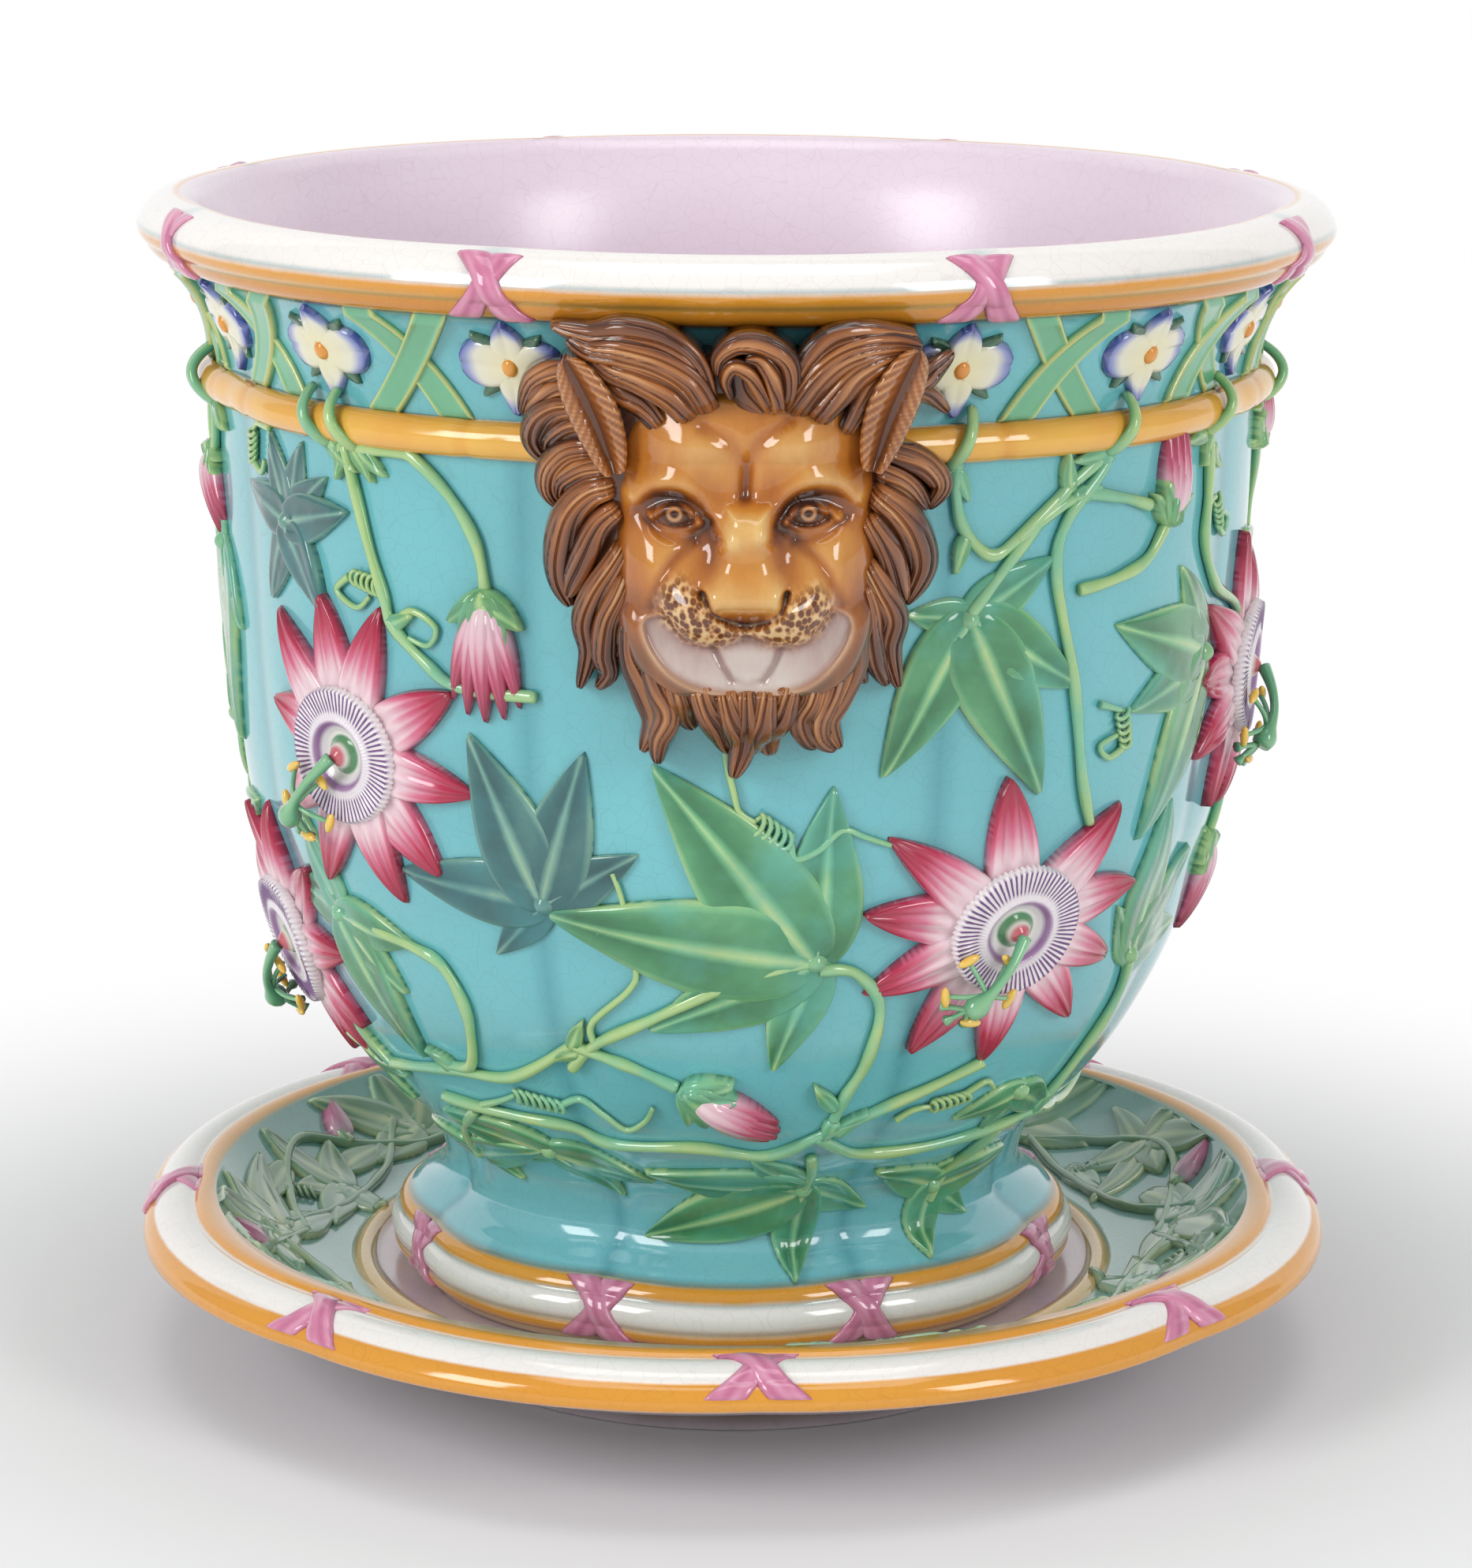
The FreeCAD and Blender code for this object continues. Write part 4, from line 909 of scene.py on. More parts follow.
def strap(clay, az, side, height):
    """Strap of the frieze, from the rim down to the cane: a flat band between two raised edges."""
    t, v = shares(24, 15)
    run = RUN_RIM_FOOT + 0.4 + (RUN_FRIEZE_FOOT - RUN_RIM_FOOT + 1.0) * t
    x = side * 16.0 * (2 * t - 1) + 7.4 * v
    h = height + 0.9 * bell(np.abs(v), 0.82, 0.12) + 0 * t
    h = np.where(np.abs(v) > 0.99, SUNK, h)
    h[0], h[-1] = SUNK, SUNK
    tone = bell(np.abs(v), 0.84, 0.14) + 0 * t
    deg = az + np.degrees(x / POT.radius(run))
    clay.grid(POT.at(deg, run, h), tone, 0.5)
    clay.grid(POT.at(deg[:, [0, -1]], run, SUNK), tone[:, [0, -1]], 0.4, turn=True)


# Lion mask --------------------------------------------------------------------

MASK_MIDDLE = 321.5
MASK_SUNK = -6.0
MASK_REACH = 242.6
EYES = ((-20.8, 17.6), (25.1, 18.0))
# Scale of the mask's drawing: units to the millimetre across, and millimetres to the unit down
DRAWN_ACROSS = 9.04
DRAWN_DOWN = 0.1141


def mask_place(x, y, h):
    """Place on the mask: x across and y up from its middle, h off the wall, leaning out under the rim."""
    lean = np.clip(y / 79.0 - 0.45, 0, 1) / 0.55 * 17.0
    out = LOBE_AXIS + np.sqrt(np.maximum(161.0 ** 2 - x * x, 0)) + h + lean
    return np.stack([x, -np.minimum(out, MASK_REACH), MASK_MIDDLE + SEAT + y], -1)


def hill(x, y, cx, cy, rx, ry, turn=0.0):
    """Soft round hill of height one, with its two radii turned by an angle."""
    c, s = math.cos(math.radians(turn)), math.sin(math.radians(turn))
    u, w = ((x - cx) * c + (y - cy) * s) / rx, (-(x - cx) * s + (y - cy) * c) / ry
    return np.exp(-(u * u + w * w))


def to_chain(x, y, points):
    """Distance to the nearest of a chain of straight runs."""
    near = np.full(np.broadcast(x, y).shape, 1e9)
    for (ax, ay), (bx, by) in zip(points, points[1:]):
        dx, dy = bx - ax, by - ay
        t = np.clip(((x - ax) * dx + (y - ay) * dy) / (dx * dx + dy * dy), 0, 1)
        near = np.minimum(near, np.hypot(x - ax - t * dx, y - ay - t * dy))
    return near


def furrow(x, y, points, width):
    """Soft line of depth one along a chain."""
    return bell(to_chain(x, y, points), 0, width)


def crop(*spots):
    """Places of the mask from its drawing."""
    return [(px / DRAWN_ACROSS - 79.95, 91.6 - DRAWN_DOWN * py) for px, py in spots]


def inside_of(x, y, points, soft):
    """One within a closed outline and nought outside it, with a soft edge."""
    loop = points + points[:1]
    near = to_chain(x, y, loop)
    wind = np.zeros(near.shape, bool)
    for (ax, ay), (bx, by) in zip(loop, loop[1:]):
        wind ^= ((ay > y) != (by > y)) & (x < (bx - ax) * (y - ay) / (by - ay + 1e-12) + ax)
    return 1 / (1 + np.exp(-np.where(wind, near, -near) / soft))


MOUTH = crop((520, 955), (450, 970), (440, 1010), (470, 1080), (530, 1145), (620, 1185), (760, 1200),
             (900, 1190), (990, 1150), (1060, 1070), (1085, 1000), (1070, 960), (1020, 950), (960, 1030),
             (860, 1050), (760, 1010), (660, 1045), (580, 1030))
PAD_LEFT = crop((555, 830), (500, 860), (482, 920), (500, 985), (570, 1035), (650, 1050), (720, 1030),
                (750, 1005), (690, 965), (630, 900))
PAD_RIGHT = crop((975, 850), (1020, 900), (1028, 960), (985, 1015), (900, 1050), (820, 1035), (760, 1005),
                 (830, 965), (900, 900))
FACE = crop((770, 265), (600, 280), (450, 330), (350, 430), (335, 640), (340, 800), (345, 930), (370, 1060),
            (430, 1150), (560, 1215), (760, 1232), (960, 1220), (1090, 1160), (1150, 1060), (1170, 930),
            (1175, 780), (1170, 620), (1160, 440), (1080, 330), (930, 280))


NOSE = crop((705, 630), (695, 720), (668, 800), (636, 870), (640, 925), (690, 965), (765, 980), (840, 965),
            (882, 920), (884, 865), (852, 800), (832, 720), (822, 630))
TONGUE = crop((665, 1040), (690, 1110), (720, 1150), (765, 1162), (810, 1150), (840, 1110), (860, 1040))
# Lines of the face: height, width, then the places that the line runs through
FACE_LINES = [
    (4.2, 4.4, ((410, 600), (470, 556), (560, 560), (640, 628), (700, 712))),
    (4.2, 4.4, ((1100, 600), (1040, 548), (950, 548), (870, 600), (815, 694))),
    (-0.8, 2.2, ((420, 640), (465, 598), (540, 588), (605, 612), (645, 664), (668, 715))),
    (-0.8, 2.2, ((1090, 640), (1045, 598), (960, 586), (890, 612), (852, 664), (840, 715))),
    (3.0, 1.7, ((464, 656), (496, 634), (540, 624), (584, 636), (610, 672))),
    (3.0, 1.7, ((880, 668), (908, 636), (952, 624), (1002, 634), (1044, 660))),
    (1.6, 1.2, ((462, 660), (492, 682), (540, 692), (582, 688), (608, 668))),
    (1.6, 1.2, ((882, 664), (910, 686), (955, 692), (1006, 682), (1046, 658))),
    (-1.1, 1.8, ((450, 670), (490, 712), (550, 730), (612, 706), (645, 668))),
    (-1.1, 1.8, ((855, 680), (900, 716), (960, 728), (1020, 706), (1065, 665))),
    (-1.7, 3.0, ((750, 590), (748, 500), (700, 420), (625, 380))),
    (-1.7, 2.8, ((756, 590), (764, 500), (800, 425), (885, 362))),
    (-2.0, 2.4, ((600, 730), (540, 780), (492, 850), (470, 930))),
    (-2.0, 2.4, ((910, 735), (968, 775), (1018, 840), (1048, 920))),
    (-2.6, 1.2, ((626, 878), (650, 930), (700, 966), (765, 982), (832, 966), (868, 930), (884, 876))),
    (-1.2, 1.3, ((765, 975), (765, 1020))),
    (1.2, 2.2, ((500, 985), (570, 1035), (650, 1048), (720, 1032), (765, 1008), (810, 1032), (880, 1048),
                (985, 1015))),
]


def face_height(x, y):
    """Lion's face: a dome with hills for brow, nose, pads and chin, lines along creases, and the mouth."""
    h = 10.0 + 17.0 * np.exp(-(np.abs(x - 3) / 46) ** 4 - (np.abs(y - 3) / 56) ** 4)
    h = (h + 6.5 * hill(x, y, -16, 40, 15, 11) + 6.5 * hill(x, y, 22, 41, 15, 11)
         + 2 * hill(x, y, 3, 50, 30, 12))
    h = h - 6.0 * hill(x, y, -21, 17, 13.5, 8.5, 8) - 6.0 * hill(x, y, 26, 18, 13.5, 8.5, -8)
    for cx, cy in EYES:
        h = h + 4.4 * np.sqrt(np.clip(1 - ((x - cx) / 7.0) ** 2 - ((y - cy) / 4.2) ** 2, 0, 1))
        h = h - 0.9 * hill(x, y, cx, cy + 0.2, 1.1, 1.1) + 0.5 * hill(x, y, cx, cy + 0.2, 2.6, 2.6)
    h = (h + 7.5 * inside_of(x, y, NOSE, 1.6) + 3.5 * hill(x, y, 3.8, -10, 11, 9)
         + 2.5 * hill(x, y, 4.5, 14, 9, 12))
    h = h + 10.0 * hill(x, y, -14, -14.5, 15, 12.0, -22) + 10.0 * hill(x, y, 22, -15, 15, 12.0, 22)
    h = h + 5.0 * hill(x, y, -31, 3, 11, 17, -12) + 5.0 * hill(x, y, 37.5, 3, 11, 17, 12)
    h = h - 3.0 * hill(x, y, -11.5, -9.3, 1.8, 3.6, 24) - 3.0 * hill(x, y, 17, -9.3, 1.8, 3.6, -24)
    for depth, width, spots in FACE_LINES:
        h = h + depth * furrow(x, y, [tuple(p) for p in smooth_line(crop(*spots), 4)], width)
    mouth = inside_of(x, y, [tuple(p) for p in smooth_line(MOUTH + MOUTH[:1], 4)[:-1]], 0.8)
    pads = np.clip(inside_of(x, y, PAD_LEFT, 0.9) + inside_of(x, y, PAD_RIGHT, 0.9), 0, 1)
    floor = 24.5 + 2.0 * hill(x, y, 4, -29, 14, 9) + 2.0 * inside_of(x, y, TONGUE, 1.0)
    for spots in (((655, 1050), (684, 1105), (716, 1158)), ((868, 1050), (846, 1105), (814, 1158))):
        floor = floor - 1.6 * furrow(x, y, crop(*spots), 1.4)
    low = (1 - pads) / (1 + np.exp((y + 16) / 2.5))
    h = h + (26.0 - h) * low
    h = h * (1 - mouth) + floor * mouth
    return h + 1.5 * bell(mouth, 0.35, 0.3) * low + 1.0 * pads, mouth, pads


def evened(h, reach):
    """The same heights, each the mean of the square round it, twice over, from running sums."""
    for axis in (0, 1, 0, 1):
        pad = [(0, 0), (0, 0)]
        pad[axis] = (reach + 1, reach)
        run = np.cumsum(np.pad(h, pad, 'edge'), axis)
        size = h.shape[axis]
        h = (run.take(range(2 * reach + 1, 2 * reach + 1 + size), axis)
             - run.take(range(size), axis)) / (2 * reach + 1)
    return h


def low_of(y):
    """One below the pads and nought above them."""
    return 1 / (1 + np.exp((y + 24) / 3.0))


FACE_ROWS, FACE_COLUMNS = 250, 220


def lion_face(clay):
    """Face as one grid, drawn into its outline row by row, with a rim that runs down behind the mane."""
    outline = smooth_line(FACE + FACE[:1], 8)
    rows = np.linspace(outline[:, 1].max() - 0.4, outline[:, 1].min() + 0.4, FACE_ROWS)
    left, right = [], []
    for row in rows:
        a, b = outline[:-1], outline[1:]
        hit = (a[:, 1] - row) * (b[:, 1] - row) <= 0
        cross = a[hit, 0] + (b[hit, 0] - a[hit, 0]) * (row - a[hit, 1]) / (b[hit, 1] - a[hit, 1] + 1e-9)
        left.append(cross.min())
        right.append(cross.max())
    left, right = np.array(left)[:, None], np.array(right)[:, None]
    u = np.linspace(0, 1, FACE_COLUMNS)[None, :]
    x = left + (right - left) * u
    y = rows[:, None] + 0 * u
    h, mouth, pads = face_height(x, y)
    ends = np.minimum(np.linspace(0, 1, FACE_ROWS)[:, None],
                      np.linspace(1, 0, FACE_ROWS)[:, None]) * FACE_ROWS / 12
    edge = np.clip(np.minimum(np.minimum(u, 1 - u) * FACE_COLUMNS / 16 + 0 * y, ends + 0 * u), 0, 1)
    h = h * (0.5 + 0.5 * np.sqrt(1 - (1 - edge) ** 2))
    # Painted shade and light: the tone is darker in hollows such as the eye sockets and lighter on bulges such
    # as the nose and brows.
    relief = np.clip(0.54 + (h - evened(h, 3)) * 0.2 + (h - evened(h, 16)) * 0.06, 0.14, 1)
    near = [np.hypot(x - cx, y - cy) for cx, cy in EYES]
    iris = 0.8 * sum(bell(r, 2.1, 0.7) for r in near)
    white = sum(np.clip(4 - 4 * ((x - cx) / 7.0) ** 2 - 4 * ((y - cy) / 4.0) ** 2, 0, 1) for cx, cy in EYES)
    dark = (sum(0.5 * bell(r, 3.6, 0.6) + bell(r, 0, 1.0) - 0.5 * bell(r, 2.1, 0.9) for r in near)
            + 0.42 * white)
    # Dark lines along the lids, and painted shade in the creases of the brow, under the eyes, beside the muzzle
    # and under the nose.
    for share, width, line in ((0.55, 0.8, 14), (0.2, 1.0, 4), (0.2, 1.0, 5), (0.1, 3.2, 2), (0.1, 3.2, 3),
                               (0.34, 0.9, 6), (0.34, 0.9, 7), (0.05, 2.8, 8), (0.05, 2.8, 9), (0.06, 2.4, 12),
                               (0.06, 2.4, 13)):
        dark = dark + share * furrow(x, y, crop(*FACE_LINES[line][2]), width)
    dark = np.clip(dark, 0, 1)
    # Painted shade in the eye sockets under the brows and at the inner corners of the eyes.
    socket = (0.2 * hill(x, y, -20, 22, 13, 8, 12) + 0.2 * hill(x, y, 24.5, 22, 13, 8, -12)
              + 0.16 * hill(x, y, -9, 14, 5, 8) + 0.16 * hill(x, y, 14, 14, 5, 8))
    edge_of_lip = 0.55 * bell(mouth, 0.35, 0.3) * (1 - pads) * low_of(y)
    margin = (np.clip(1 - np.minimum(np.minimum(u, 1 - u) * 4.6 + 0 * y, ends / 5.0 + 0 * u), 0, 1)
              * np.clip(1.25 - (y + 40) / 110, 0.5, 1.3))
    # Tone: the painted shade and light of the relief, darker towards the face's sides and bottom and below the
    # pads, less the dark lines and the painted shade of the sockets.
    tone = np.clip(relief - 0.62 * margin ** 1.3 * (1 - mouth) - 0.7 * dark
                   - 0.1 * low_of(y) * (1 - pads) * (1 - mouth) - 0.04 * mouth - socket, 0, 1)
    lit = np.clip(iris - dark + edge_of_lip, 0, 1)
    pillow(clay, mask_place, x, y, h, tone, lit, (mouth, pads), sunk=-3.0, floor=14)
    return clay


def strip(line, half, v):
    """Places across a line, out to half its width on each side."""
    along = unit(np.gradient(line, axis=0))
    side = np.stack([-along[:, 1], along[:, 0]], 1)
    return line[:, :1] + side[:, :1] * half * v, line[:, 1:] + side[:, 1:] * half * v


def lock(clay, spots, width, height, root, tip, strands):
    """Lock of hair: a strip along a curve, crowned and ridged with strands, drawn in to its tip."""
    line = smooth_line(crop(*spots), 9)
    t, v = shares(len(line), max(9, strands * 8 + 1))
    taper = 0.35 + (1 - 0.35) * np.sin(np.pi * np.clip(t * 0.9 + 0.1, 0, 1) * 0.5) ** 0.7
    half = 1.2 * width / DRAWN_ACROSS / 2 * taper * np.clip(1 - t ** 2.6, 0, 1) ** 0.6
    phase = 0.6 * np.sin(t * 3.0 + strands)
    x, y = strip(line, half, v)
    crown = domed(v, 2)
    wave = v + 0.16 * np.sin(2.6 * v + t * 4 + strands + root) + 0.07 * np.sin(t * 9)
    comb = 1 - 2 * bell(np.sin(wave * strands * 0.42 * np.pi + phase), 0, 0.3 + 0.16 * np.sin(5 * wave + root))
    fine = np.cos(wave * strands * 1.7 * np.pi + 2 * phase) * (0.6 + 0.4 * np.sin(t * 8))
    level = root + (tip - root) * t ** 0.9 - 10 * bell(t, 0, 0.07)
    arch = 0.35 + 0.65 * np.sin(np.pi * np.clip(t * 0.92 + 0.08, 0, 1)) ** 0.6
    h = level + height * crown * arch + (0.8 * comb + 0.25 * fine) * crown
    # Tone: painted shade in the furrows between strands and along the lock's sides, darker towards the tip, and
    # streaks of painted highlight (shine).
    shine = 0.1 * np.sin(6 * wave + 2 * root) + 0.12 * np.sin(t * 5 + root + v)
    tone = np.clip(0.45 + (0.13 + 0.4 * shine) * comb + 0.06 * fine - 0.5 * (1 - crown) - 0.2 * t ** 3 + shine,
                   0, 1)
    pillow(clay, mask_place, x, y, np.minimum(h, 41.0), tone, 0.5 + 0 * tone, sunk=MASK_SUNK)


LOCKS = [
    # top, swept to the corners
    (((640, 330), (600, 200), (500, 120), (380, 95), (270, 110), (145, 86)), 110, 4, 22, 14, 4),
    (((650, 360), (590, 250), (490, 185), (370, 160), (270, 160), (200, 120)), 120, 5, 24, 16, 5),
    (((600, 380), (520, 290), (420, 235), (330, 215), (260, 170)), 110, 5, 24, 16, 4),
    (((500, 400), (430, 320), (350, 280), (290, 230)), 90, 4, 22, 14, 4),
    (((890, 330), (930, 210), (1010, 130), (1110, 110), (1200, 110), (1285, 112)), 110, 4, 22, 14, 4),
    (((880, 370), (960, 250), (1040, 180), (1130, 145), (1220, 135), (1300, 150)), 120, 5, 24, 15, 5),
    (((950, 380), (1030, 290), (1100, 220), (1180, 175), (1240, 160)), 110, 5, 24, 15, 4),
    (((1050, 420), (1100, 330), (1150, 260), (1200, 210)), 80, 4, 22, 14, 3),
    # topknot
    (((865, 350), (815, 290), (775, 230), (760, 180)), 190, 3, 19, 19, 5),
    (((862, 350), (890, 260), (880, 175), (810, 125), (730, 120), (672, 165), (665, 225)), 84, 5, 23, 19, 4),
    (((840, 350), (800, 270), (765, 210), (715, 190), (690, 235), (712, 300)), 62, 5, 24, 20, 3),
    (((858, 348), (848, 280), (832, 215), (795, 170), (748, 165)), 70, 5, 24, 22, 3),
    # right corner tips
    (((1230, 300), (1300, 280), (1350, 230), (1402, 184)), 84, 3, 8, 2, 3),
    (((1230, 330), (1290, 310), (1340, 330), (1395, 385)), 66, 3, 8, 2, 3),
    (((1240, 260), (1290, 240), (1330, 215), (1350, 200)), 50, 3, 7, 2, 2),
    # left corner tips
    (((240, 230), (150, 240), (85, 290), (48, 400)), 84, 4, 12, 2, 4),
    (((230, 290), (150, 300), (90, 350), (60, 400)), 74, 4, 12, 2, 3),
    (((250, 350), (165, 360), (100, 410), (85, 480), (128, 542)), 96, 5, 14, 3, 5),
    (((260, 400), (190, 420), (140, 470), (130, 530)), 74, 4, 14, 3, 3),
    (((300, 470), (200, 490), (140, 550), (135, 620), (170, 680)), 96, 5, 18, 3, 5),
    (((330, 520), (240, 540), (180, 590), (170, 650)), 84, 4, 19, 6, 4),
    (((360, 580), (270, 610), (200, 690), (170, 800), (172, 900), (205, 985)), 120, 6, 20, 4, 5),
    (((370, 640), (300, 700), (250, 800), (215, 890), (192, 950)), 100, 5, 21, 7, 4),
    (((390, 740), (340, 830), (280, 930), (250, 1020), (262, 1120), (228, 1245)), 100, 5, 20, 3, 5),
    (((400, 820), (360, 920), (320, 1010), (310, 1110), (325, 1180), (285, 1235)), 96, 5, 20, 4, 4),
    (((410, 900), (390, 1000), (370, 1080), (350, 1140)), 70, 4, 19, 6, 3),
    # right side
    (((1180, 470), (1260, 500), (1330, 545), (1372, 610), (1328, 682)), 96, 5, 17, 4, 5),
    (((1160, 530), (1230, 570), (1290, 620), (1335, 680)), 84, 4, 18, 5, 4),
    (((1140, 590), (1230, 660), (1290, 750), (1315, 860), (1258, 975)), 124, 6, 20, 4, 5),
    (((1130, 660), (1190, 760), (1230, 860), (1262, 960)), 100, 5, 21, 7, 4),
    (((1120, 800), (1180, 900), (1225, 1000), (1215, 1100), (1245, 1240)), 104, 5, 20, 3, 5),
    (((1110, 860), (1140, 960), (1150, 1060), (1175, 1150), (1210, 1225)), 96, 5, 20, 4, 4),
    (((1100, 960), (1110, 1060), (1110, 1140), (1140, 1210)), 70, 4, 19, 6, 3),
    # beard
    (((400, 960), (405, 1100), (445, 1220), (470, 1320), (430, 1430)), 110, 5, 23, 3, 4),
    (((450, 1090), (485, 1200), (512, 1290), (485, 1380), (482, 1465)), 100, 5, 24, 3, 4),
    (((530, 1140), (555, 1230), (572, 1290), (600, 1345)), 100, 4, 26, 5, 4),
    (((1105, 960), (1100, 1110), (1055, 1220), (1020, 1320), (1062, 1418)), 110, 5, 23, 3, 4),
    (((1055, 1090), (1025, 1200), (985, 1300), (1000, 1370), (1050, 1420)), 100, 5, 24, 3, 4),
    (((985, 1140), (965, 1230), (935, 1300), (962, 1370), (1000, 1400)), 100, 4, 26, 4, 4),
    (((610, 1165), (645, 1270), (690, 1350), (718, 1425)), 110, 4, 27, 4, 4),
    (((900, 1165), (872, 1270), (830, 1350), (842, 1430)), 110, 4, 27, 4, 4),
    (((690, 1175), (725, 1290), (750, 1380), (718, 1505)), 110, 5, 27, 3, 5),
    (((825, 1175), (812, 1290), (790, 1370), (800, 1420)), 110, 5, 27, 4, 4),
    (((760, 1175), (765, 1280), (760, 1360), (750, 1410)), 90, 5, 27.5, 5, 4),
]


def mane_bed(clay):
    """Bed under the locks: a low dome within the mane's outline, so that no wall shows between them."""
    t = np.linspace(0, 1, 26)[:, None]
    outline = smooth_line(crop(
        (770, 180), (600, 150), (400, 150), (230, 170), (110, 330), (130, 480), (180, 620), (220, 760),
        (230, 900), (290, 1040), (420, 1140), (500, 1240), (640, 1290), (760, 1330), (870, 1290), (1000, 1250),
        (1080, 1150), (1180, 1060), (1230, 920), (1270, 780), (1270, 620), (1260, 450), (1290, 300),
        (1240, 170), (1100, 150), (930, 150), (770, 180)), 5).T
    x = 2 + (outline[0][None, :] - 2) * t
    y = 4 + (outline[1][None, :] - 4) * t
    h = 2 + 19 * np.sqrt(np.clip(1 - t ** 2.8, 0, 1)) + 0 * x
    h[-1] = -3.0
    # Its dark tone is painted shade between the locks.
    clay.grid(mask_place(x, y, h), 0.22, 0.4)
    clay.grid(mask_place(x[::5], y[::5], np.full_like(x[::5], -3.0)), 0.2, 0.2)


def ear(clay, tip, base, width, side):
    """Ear: a leaf shape hollowed along its inner side, ribbed with short hairs that run out to its edge."""
    line = smooth_line(crop(tip, ((tip[0] + base[0]) / 2 + side * 14, (tip[1] + base[1]) / 2), base), 20)
    t, v = shares(len(line), 41)
    x, y = strip(line, side * (width / DRAWN_ACROSS / 2 * np.sin(np.pi * t ** 0.8 * 0.93) ** 0.7), v)
    hair = (np.cos((t * 26 - np.abs(v + 0.15) * 5.0) * np.pi + np.sin(t * 9))
            * np.clip(np.abs(v + 0.05) * 2.2 - 0.25, 0, 1))
    bowl = -5.4 * bell(np.abs(v + 0.05), 0, 0.42) * np.sin(np.pi * np.clip(t * 0.9 + 0.02, 0, 1)) ** 0.5
    h = 20 + 4 * t + 5.0 * domed(v, 4) + bowl + 0.45 * hair * np.sin(np.pi * t)
    # Tone: painted shade in the ear's hollow, lighter on the ribs of hair.
    tone = np.clip(0.66 + 0.2 * hair - 0.42 * bell(np.abs(v + 0.05), 0, 0.3) + 0 * t, 0, 1)
    pillow(clay, mask_place, x, y, h, tone, 0.5 + 0 * tone, sunk=MASK_SUNK)


def lion_mane(clay):
    mane_bed(clay)
    for spots, width, height, root, tip, strands in LOCKS:
        lock(clay, spots, width, height, root, tip, strands)
    ear(clay, (198, 178), (352, 540), 165, 1)
    ear(clay, (1285, 150), (1145, 530), 165, -1)
    return clay


# Stand relief -----------------------------------------------------------------

def on_well(az, across, turn):
    """Placing function in the stand's well, at a share of the way from the seat's bead to the rim."""
    run = BEAD_RUN * (1 - across)

    def place(x, y, h):
        return DISH.at(az + np.degrees(x / DISH.radius(run)), np.clip(run - y, 3, None), h, 1.0)
    return aimed(place, turn)


def coil(clay, place, length, turns, size, thick=0.95):
    """Tendril wound like a spring: a flattened helix along a straight run."""
    t = np.linspace(0, 1, int(turns * 12))
    a = TAU * turns * t
    path = place(length * t + 0.5 * size * np.sin(a), size * (1 - 0.3 * t) * np.cos(a), 1.3 + 1.1 * np.sin(a))
    tube(clay, path, thick, 7)


def stand_relief(leaf_clay, vine_clay, bud_clay, calyx_clay):
    """Leaves, vines, springs and buds in the well, the same in each quarter."""
    for quarter in range(4):
        az = 90 * quarter
        for shift, across, turn, size in ((47.5, 0.5, 78, 56), (2.5, 0.46, 104, 56), (26, 0.72, 196, 46),
                                          (70, 0.3, 30, 44)):
            for aim, share in ((-96, 0.7), (-46, 0.95), (0, 0.62), (46, 1.0), (98, 0.74)):
                blade(leaf_clay, on_well(az + shift, across, turn + aim), size * share, 3 + size * 0.15, 0.05,
                      3.0, 0.3, 0, -3, n=24, m=11)
        for shift, across, turn, length in ((16, 0.40, 160, 44), (24, 0.62, 14, 42), (66, 0.42, 170, 42),
                                            (74, 0.66, -12, 44), (33, 0.26, 178, 34), (84, 0.28, 4, 30)):
            blade(leaf_clay, on_well(az + shift, across, turn), length, 7.6, 0.1, 2.6, 0.2, 0, -2, n=24, m=11)
        for spots in ([(0, 0.30), (10, 0.50), (22, 0.74), (34, 0.56), (47, 0.36), (58, 0.52), (68, 0.76),
                       (80, 0.52), (90, 0.30)],
                      [(4, 0.60), (12, 0.30), (22, 0.18), (34, 0.22), (44, 0.40)],
                      [(50, 0.62), (58, 0.30), (70, 0.18), (80, 0.24), (90, 0.44)]):
            line = smooth_line(spots, 10)
            path = DISH.at(line[:, 0] + az, BEAD_RUN * (1 - line[:, 1]), 1.1, 1.0)
            tube(vine_clay, path, 2.4 + 0.2 * np.sin(np.arange(len(path))), 8)
        for shift, across, turn in ((29, 0.44, -60), (76, 0.40, 40)):
            place = on_well(az + shift, across, turn)
            coil(vine_clay, place, 17, 5, 3.4, 0.9)
        for shift, across, turn in ((13, 0.60, 70), (60, 0.60, 110)):
            place = on_well(az + shift, across, turn)
            t, v = shares(20, 11)
            half = 6.4 * (np.sin(np.pi * t ** 0.6) ** 0.8 + 0.2 * (1 - t))
            h = 0.8 + 4.6 * np.sin(np.pi * t ** 0.6) ** 0.7 * domed(v, 2) + 0.3 * np.cos(v * 12)
            pillow(bud_clay, place, 24 * t + 0 * v, half * v, h, np.clip(t + 0 * v, 0, 1), 0.5 + 0 * t * v)
            for side in (-24, 0, 24):
                blade(calyx_clay, on_well(az + shift, across, turn + side), 13, 3.6, 0, 4.0, 0.8, 2, -4, n=12,
                      m=9)


# Glazes of the pieces ---------------------------------------------------------

